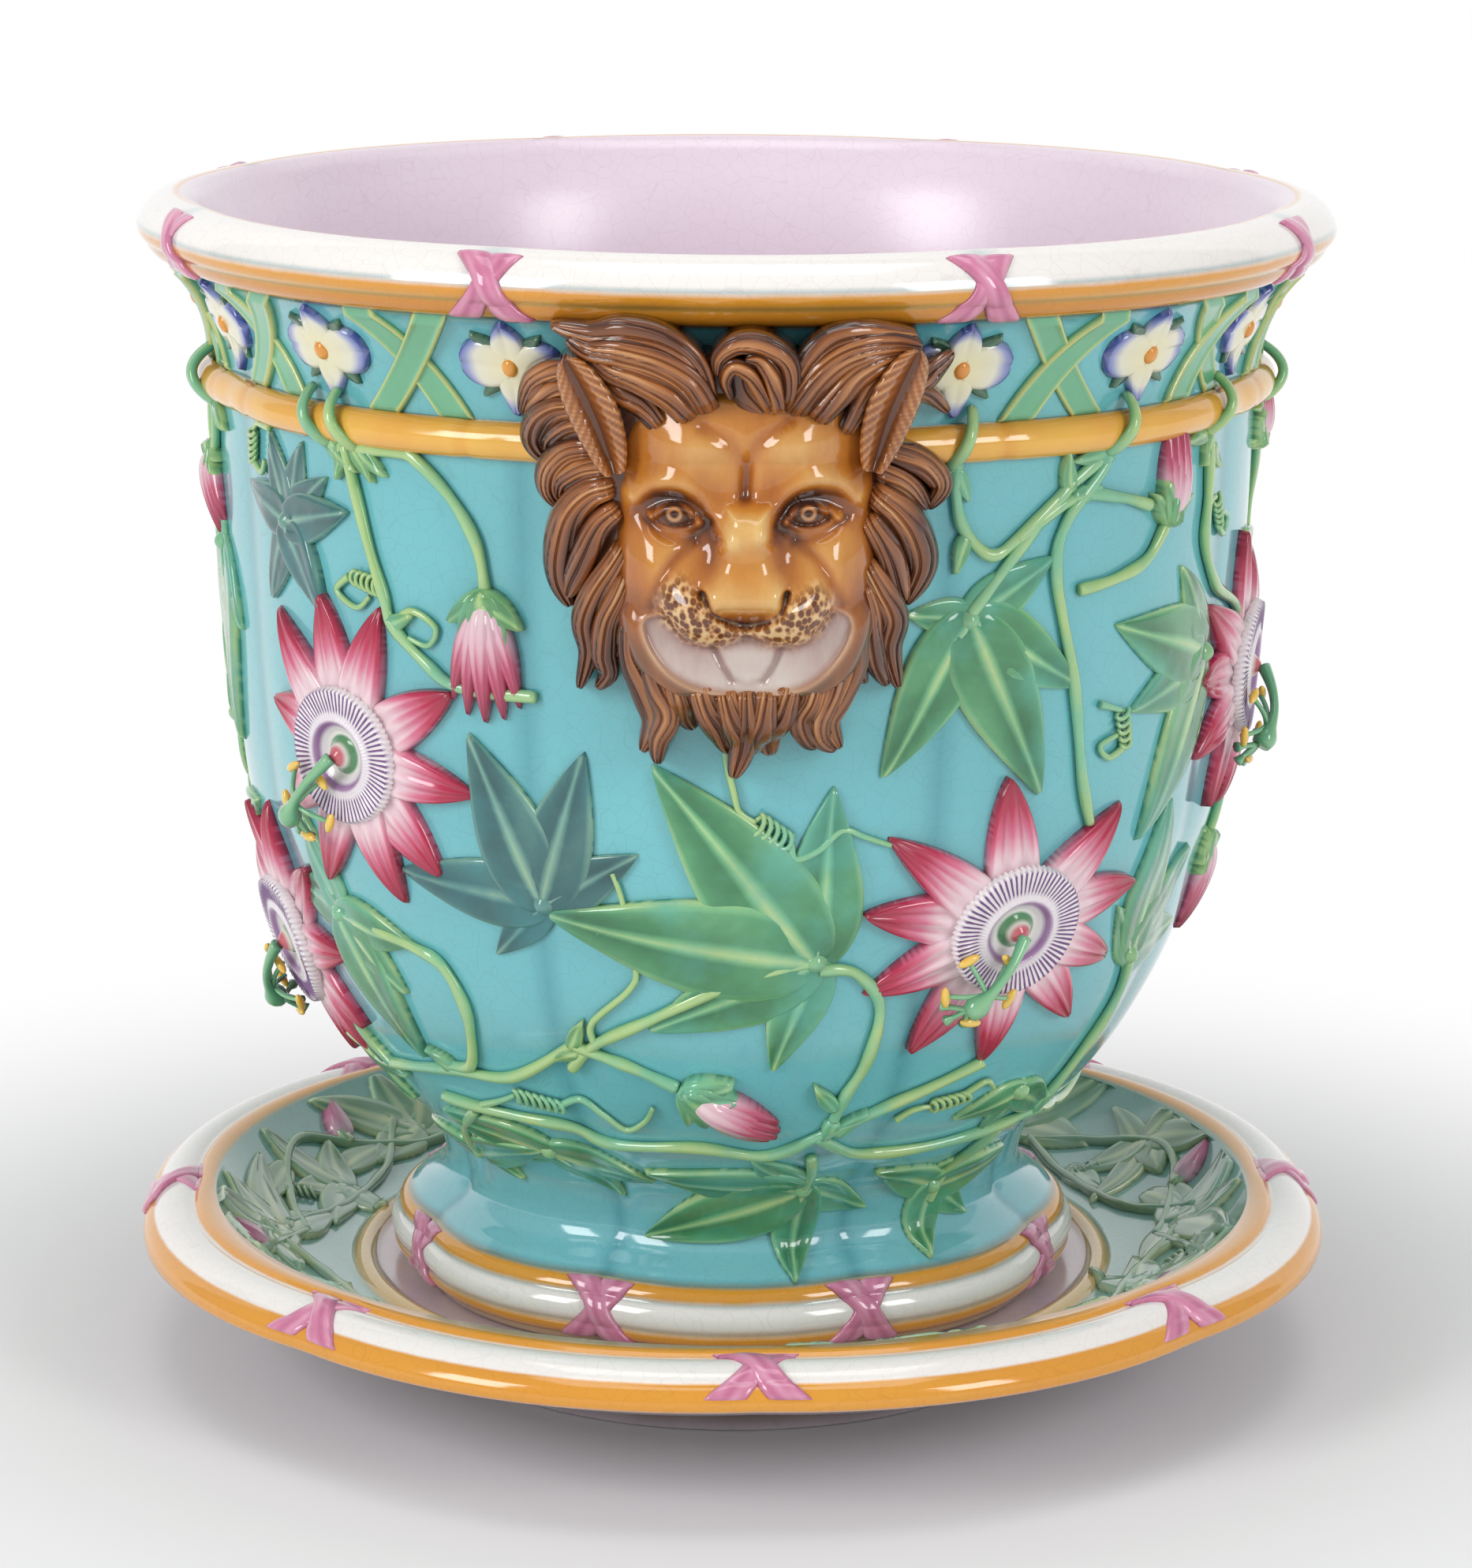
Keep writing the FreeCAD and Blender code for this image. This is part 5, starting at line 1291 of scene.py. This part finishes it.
def corona_glaze():
    """White corona: purple ticks at its edge, then rings of white, green and rose about the middle."""
    material, tree, shader = nodes_of("corona_glaze")
    radius, turn = chart_axes(tree)
    wave = maths(tree, 'COSINE', maths(tree, 'MULTIPLY', turn, CORONA_TICKS * TAU))
    tick = ramp(tree, maths(tree, 'ADD', wave, centred(tree, noise(tree, 220.0, 2.0), 1.2)),
                [(-0.1, (0, 0, 0)), (0.3, (1, 1, 1))])
    zone = ramp(tree, maths(tree, 'ADD', radius, centred(tree, noise(tree, 160.0, 2.0), 0.05)),
                [(0.0, (0, 0, 0)), (0.60, (0, 0, 0)), (0.67, (1, 1, 1)), (0.94, (1, 1, 1)), (0.985, (0, 0, 0))])
    rings = ramp(tree, radius, paints(
        (0.0, 206, 80, 100), (0.13, 206, 110, 120), (0.17, 226, 222, 210), (0.21, 98, 150, 104),
        (0.27, 84, 144, 100), (0.31, 236, 232, 228), (0.40, 232, 226, 230), (0.45, 150, 108, 158),
        (0.49, 166, 128, 172), (0.54, 236, 228, 234), (1.0, 242, 236, 238)))
    ink = blend(tree, 1.0, tick, zone, 'MULTIPLY')
    colour = blend(tree, ink, rings, srgb(112, 66, 128))
    gloss(tree, shader, mottle(tree, colour, 0.1, 60.0), 0.14, 0.1)
    return material


def face_glaze():
    """Honey glaze of the face, with the mouth and the dappled pads painted where the chart says."""
    material, tree, shader = nodes_of("lion_face_glaze")
    mouth, pads = chart_axes(tree)
    drift = centred(tree, noise(tree, 45.0, 6.0, (1.0, 1.0, 0.45), 0.65), 0.55)
    tone = maths(tree, 'ADD', value_of(tree, "tone"), drift)
    honey = ramp(tree, tone, paints((0.0, 70, 36, 20), (0.2, 126, 66, 26), (0.4, 176, 104, 38),
                                    (0.58, 200, 134, 58), (0.9, 224, 182, 114)))
    honey = mottle(tree, honey, 0.25, 45.0)
    grey = ramp(tree, tone, paints((0.0, 120, 84, 78), (0.32, 176, 148, 142), (0.5, 198, 182, 174),
                                   (0.8, 226, 218, 208)))
    colour = blend(tree, mouth, honey, grey)
    cell = add(tree, "ShaderNodeTexVoronoi", Scale=470.0, Randomness=0.85)
    tree.links.new(place_of(tree, (1.0, 0.6, 0.75)), cell.inputs["Vector"])
    spots = ramp(tree, cell.outputs["Distance"], paints((0.43, 104, 54, 26), (0.56, 190, 136, 80),
                                                        (0.72, 224, 190, 140)))
    colour = blend(tree, pads, colour, spots)
    colour = blend(tree, maths(tree, 'MULTIPLY', value_of(tree, "pool"), 0.75), colour, srgb(196, 166, 130))
    gloss(tree, shader, colour, 0.12, 0.12)
    return material


glazes = {
    "pot": ring_glaze("pot_glaze", pot_stops(), 0.0022, 0.05),
    "stand": ring_glaze("stand_glaze", stand_stops(), 0.0018, 0.22),
    "cane": relief_glaze("cane_glaze", [(0.0, 184, 106, 26), (0.45, 222, 148, 42), (0.9, 238, 182, 80)]),
    "ties": relief_glaze("ribbon_glaze", [(0.1, 184, 96, 134), (0.5, 210, 130, 162), (0.95, 232, 182, 200)],
                         scale=60.0),
    "leaves": relief_glaze("leaf_glaze", [(0.0, 46, 108, 72), (0.36, 84, 154, 106), (0.6, 120, 182, 130),
                                          (1.0, 194, 216, 150)], (0.32, 0.54, 0.5), 30.0, 0.5, 0.3,
                                          bleed=(98, 180, 160)),
    "dark": relief_glaze("dark_leaf_glaze", [(0.0, 34, 76, 78), (0.42, 62, 116, 116), (0.8, 120, 166, 150),
                                             (1.0, 160, 190, 150)], (0.4, 0.55, 0.6), 30.0, 0.34, 0.3,
                                             bleed=(60, 134, 140)),
    "vines": relief_glaze("vine_glaze", [(0.1, 80, 142, 100), (0.5, 124, 182, 118), (0.9, 180, 208, 140)],
                          bleed=(112, 190, 160)),
    "petals": relief_glaze("petal_glaze", [(0.0, 242, 230, 232), (0.36, 240, 210, 218), (0.55, 216, 112, 142),
                                           (0.7, 188, 44, 80), (1.0, 148, 22, 54)], (0.62, 0.4, 0.5),
                                           amount=0.12),
    "buds": relief_glaze("bud_glaze", [(0.0, 232, 214, 216), (0.34, 226, 178, 194), (0.6, 198, 84, 116),
                                       (1.0, 148, 30, 64)], (0.62, 0.4, 0.5)),
    "columns": relief_glaze("column_glaze", [(0.1, 56, 116, 88), (0.6, 98, 166, 124), (1.0, 156, 204, 156)]),
    "anthers": relief_glaze("anther_glaze", [(0.1, 204, 150, 40), (0.6, 236, 190, 70), (1.0, 246, 214, 120)]),
    "frieze": relief_glaze("frieze_flower_glaze", [(0.0, 232, 226, 186), (0.32, 226, 224, 206),
                                                   (0.55, 150, 160, 204), (0.9, 70, 84, 160)], amount=0.14),
    "slots": relief_glaze("slot_glaze", [(0.1, 40, 78, 62), (0.9, 84, 124, 96)]),
    "eyes": relief_glaze("bead_glaze", [(0.1, 206, 116, 30), (0.9, 240, 170, 70)]),
    "straps": relief_glaze("strap_glaze", [(0.0, 110, 180, 140), (0.5, 140, 194, 140), (0.9, 206, 210, 130)],
                           amount=0.25),
    "mane": relief_glaze("mane_glaze", [(0.0, 44, 24, 18), (0.25, 94, 50, 26), (0.52, 142, 82, 38),
                                        (0.76, 178, 116, 62), (1.0, 222, 180, 132)], (0.5, 0.5, 0.5), 26.0,
                                        0.42, 0.3),
    "face": face_glaze(),
    "corona": corona_glaze(),
    "stand_leaves": relief_glaze("stand_leaf_glaze", [(0.0, 110, 146, 112), (0.36, 142, 174, 140),
                                                      (0.7, 178, 198, 156), (1.0, 206, 208, 164)],
                                                      (0.5, 0.6, 0.56), bleed=(150, 186, 172)),
    "stand_buds": relief_glaze("stand_bud_glaze", [(0.0, 220, 190, 200), (0.5, 196, 120, 150),
                                                   (1.0, 150, 70, 100)]),
}


# Pieces -----------------------------------------------------------------------

pot_shell().make("pot_skin", glazes["pot"], "pot", ("pot_body",))
cane("cane_roll", glazes["cane"])
stand_shell().make("stand_skin", glazes["stand"], "stand", ("stand_dish",))

valleys = [HALF_LOBE + LOBE_TURN * k for k in range(LOBES)]
ties("rim_ties", POT, valleys, 9.0, RUN_RIM_FOOT - 3.0, 7.0, 10.5, 12.0, "pot", "pot_body")
ties("foot_ties", POT, valleys, RUN_WALL_FOOT + 1.5, RUN_END - 5.0, 8.0, 9.0, 13.0, "pot", "pot_body")
ties("stand_ties", STAND, [v + STAND_TURN for v in valleys], 2.5, 30.0, 9.0, 12.0, 14.5, "stand", "stand_dish")

leaves = Clay()
for az, z, table in LEAVES + SIDE_LEAVES:
    palmate(leaves, az, z, table)
leaves.make("leaf_sprays", glazes["leaves"], "pot", ("palmate_leaves",))
dark = Clay()
for az, z, table in DARK_LEAVES + [(124, 300, DARK_LEAVES[0][2]), (-170, 160, DARK_LEAVES[1][2])]:
    palmate(dark, az, z, table, 2.4)
dark.make("dark_leaf_sprays", glazes["dark"], "pot", (), "palmate_leaves")

vines = Clay()
for spots in VINES:
    path = wall_path(spots, 1.3)
    width = 2.3 + 0.25 * np.sin(np.arange(len(path)) * 0.5)
    tube(vines, path, width, 10)
for start in [spots[0][0] for spots in VINES if spots[0][1] == HOOK]:
    swing = np.linspace(0, 1, 22)
    runs = RUN_FRIEZE_FOOT - 5 + (wall_run(340) - RUN_FRIEZE_FOOT + 5) * swing
    over = 1.2 + 8.4 * np.sin(np.pi * swing) ** 0.8
    tube(vines, POT.at(start + 2.5 * (1 - swing) * np.sign(start), runs, over), 2.1 + 0.6 * swing, 10)
    blade(vines, on_wall(start, 338, 250 - 70 * np.sign(start)), 17, 4.2, 0.1, 2.6, 0.8, 3, -3.0, n=16, m=9)
knots(vines)
vines.make("vine_stems", glazes["vines"], "pot", ("climbing_vines",))
tendrils = Clay()
for spots in TENDRILS:
    path = wall_path(spots, 1.1, 8)
    tube(tendrils, path, np.linspace(1.6, 1.0, len(path)), 8)
for (az, z, turn), length, turns, size in SPRINGS:
    coil(tendrils, on_wall(az, z, turn), length, turns, size)
tendrils.make("tendril_coils", glazes["vines"], "pot", (), "climbing_vines")

bud_clay, calyx = Clay(), Clay()
for az, z, turn, length, radius, spread in BUDS:
    bud(bud_clay, calyx, az, z, turn, length, radius, spread)
bud_clay.make("bud_sepals", glazes["buds"], "pot", ("flower_buds",))
calyx.make("bud_cups", glazes["vines"], "pot", (), "flower_buds")

petals, discs, stems, anthers = Clay(), Clay(), Clay(), Clay()
for az, z, table in FLOWERS:
    for rank, (aim, length) in enumerate(table):
        under = rank % 2
        petal(petals, az, z, aim, length, 8.6 + 0.8 * under, 4.8 - 1.8 * under, 0.4 * under)
    corona(discs, az, z)
    column(stems, anthers, az, z, -128, 32)
petals.make("flower_petals", glazes["petals"], "pot", ("passion_flowers",))
discs.make("flower_coronas", glazes["corona"], "pot", ("coronas",))
stems.make("flower_columns", glazes["columns"], "pot", ("stamen_columns",))
anthers.make("flower_anthers", glazes["anthers"], "pot", (), "stamen_columns")

blooms, slots, eyes = Clay(), Clay(), Clay()
for k in range(2 * LOBES):
    if k % LOBES:
        frieze_flower(blooms, slots, eyes, HALF_LOBE * k)
blooms.make("frieze_blooms", glazes["frieze"], "pot", ("frieze_flowers",))
slots.make("frieze_slots", glazes["slots"], "pot", (), "frieze_flowers")
eyes.make("frieze_beads", glazes["eyes"], "pot", (), "frieze_flowers")
bands = Clay()
for k in range(2 * LOBES):
    # None where a mask covers the frieze
    if k not in (0, 15, 7, 8):
        for side, height in ((1, 1.0), (-1, 1.9)):
            strap(bands, HALF_LOBE * (k + 0.5), side, height)
bands.make("frieze_straps", glazes["straps"], "pot", (), "frieze_flowers")

face, mane = lion_face(Clay()), lion_mane(Clay())
for end, turn in (("front", 0), ("back", 180)):
    face.copy_turned(turn).make("lion_mask_" + end, glazes["face"], "pot", ("lion_face_" + end,))
    mane.copy_turned(turn).make("lion_locks_" + end, glazes["mane"], "pot", ("lion_mane_" + end,))

sprays, creeper, mauve, cups = Clay(), Clay(), Clay(), Clay()
stand_relief(sprays, creeper, mauve, cups)
sprays.make("stand_sprays", glazes["stand_leaves"], "stand", ("stand_leaves",))
creeper.make("stand_creeper", glazes["stand_leaves"], "stand", (), "stand_leaves")
mauve.make("stand_buds", glazes["stand_buds"], "stand", (), "stand_leaves")
cups.make("stand_cups", glazes["stand_leaves"], "stand", (), "stand_leaves")


# Floor, light and camera ------------------------------------------------------

def backdrop():
    """Floor that turns up into a wall behind, in one sheet: a straight, a quarter round and a straight."""
    bend = np.linspace(0, np.pi / 2, 20)
    y = np.concatenate([[-6.0], 3.2 + 1.2 * np.sin(bend), [4.4]])
    z = np.concatenate([[0.0], 1.2 * (1 - np.cos(bend)), [7.0]]) - 0.0002
    x = np.array([-7.0, 7.0])
    grid = np.stack(np.broadcast_arrays(x[:, None], y, z), -1)
    mesh = bpy.data.meshes.new("studio_sheet")
    n = len(y)
    mesh.from_pydata(grid.reshape(-1, 3).tolist(), [], [(i, n + i, n + i + 1, i + 1) for i in range(n - 1)])
    sheet = bpy.data.objects.new("studio_sheet", mesh)
    bpy.context.scene.collection.objects.link(sheet)
    material, tree, shader = nodes_of("studio_paper")
    shader.inputs["Base Color"].default_value = (0.86, 0.86, 0.86, 1)
    shader.inputs["Roughness"].default_value = 0.9
    shader.inputs["Specular IOR Level"].default_value = 0.1
    white = add(tree, "ShaderNodeEmission", Strength=1.0)
    path = add(tree, "ShaderNodeLightPath")
    seen = maths(tree, 'MAXIMUM', path.outputs["Is Camera Ray"], path.outputs["Is Glossy Ray"])
    reach = add(tree, "ShaderNodeVectorMath", operation='LENGTH')
    tree.links.new(place_of(tree), reach.inputs[0])
    far = add(tree, "ShaderNodeMapRange", interpolation_type='SMOOTHSTEP')
    tree.links.new(reach.outputs["Value"], far.inputs["Value"])
    far.inputs["From Min"].default_value, far.inputs["From Max"].default_value = 0.24, 0.62
    mix = add(tree, "ShaderNodeMixShader")
    tree.links.new(maths(tree, 'MULTIPLY', seen, far.outputs[0]), mix.inputs[0])
    tree.links.new(shader.outputs[0], mix.inputs[1])
    tree.links.new(white.outputs[0], mix.inputs[2])
    tree.links.new(mix.outputs[0], tree.nodes["Material Output"].inputs["Surface"])
    mesh.materials.append(material)


def lamp(name, place, aim, size, power):
    data = bpy.data.lights.new(name, 'AREA')
    data.shape = 'RECTANGLE'
    data.size, data.size_y = size
    data.energy = power
    thing = bpy.data.objects.new(name, data)
    thing.location = place
    thing.rotation_euler = (Vector(aim) - Vector(place)).to_track_quat('-Z', 'Y').to_euler()
    bpy.context.scene.collection.objects.link(thing)


def studio():
    backdrop()
    world = bpy.data.worlds.new("studio_air")
    world.use_nodes = True
    tree = world.node_tree
    tree.nodes["Background"].inputs["Color"].default_value = (1, 1, 1, 1)
    seen = add(tree, "ShaderNodeLightPath").outputs["Is Camera Ray"]
    tree.links.new(maths(tree, 'MULTIPLY_ADD', seen, 0.5, 0.5), tree.nodes["Background"].inputs["Strength"])
    bpy.context.scene.world = world
    lamp("window_left", (-2.3, -1.9, 1.5), (0, 0, 0.3), (1.0, 1.6), 41)
    lamp("window_right", (2.1, -2.1, 1.4), (0, 0, 0.3), (0.8, 1.4), 26)
    lamp("overhead", (0.0, -0.3, 2.6), (0, 0, 0.2), (1.8, 1.4), 15)
    data = bpy.data.cameras.new("camera")
    data.lens = CAMERA_LENS
    data.shift_x = CAMERA_SHIFT
    eye = bpy.data.objects.new("camera", data)
    eye.location = CAMERA_PLACE
    pitch = Matrix.Rotation(math.radians(90 - CAMERA_PITCH), 4, 'X')
    eye.rotation_euler = (pitch @ Matrix.Rotation(math.radians(CAMERA_ROLL), 4, 'Z')).to_euler()
    bpy.context.scene.collection.objects.link(eye)
    bpy.context.scene.camera = eye
    bpy.context.scene.view_settings.view_transform = 'Standard'


studio()
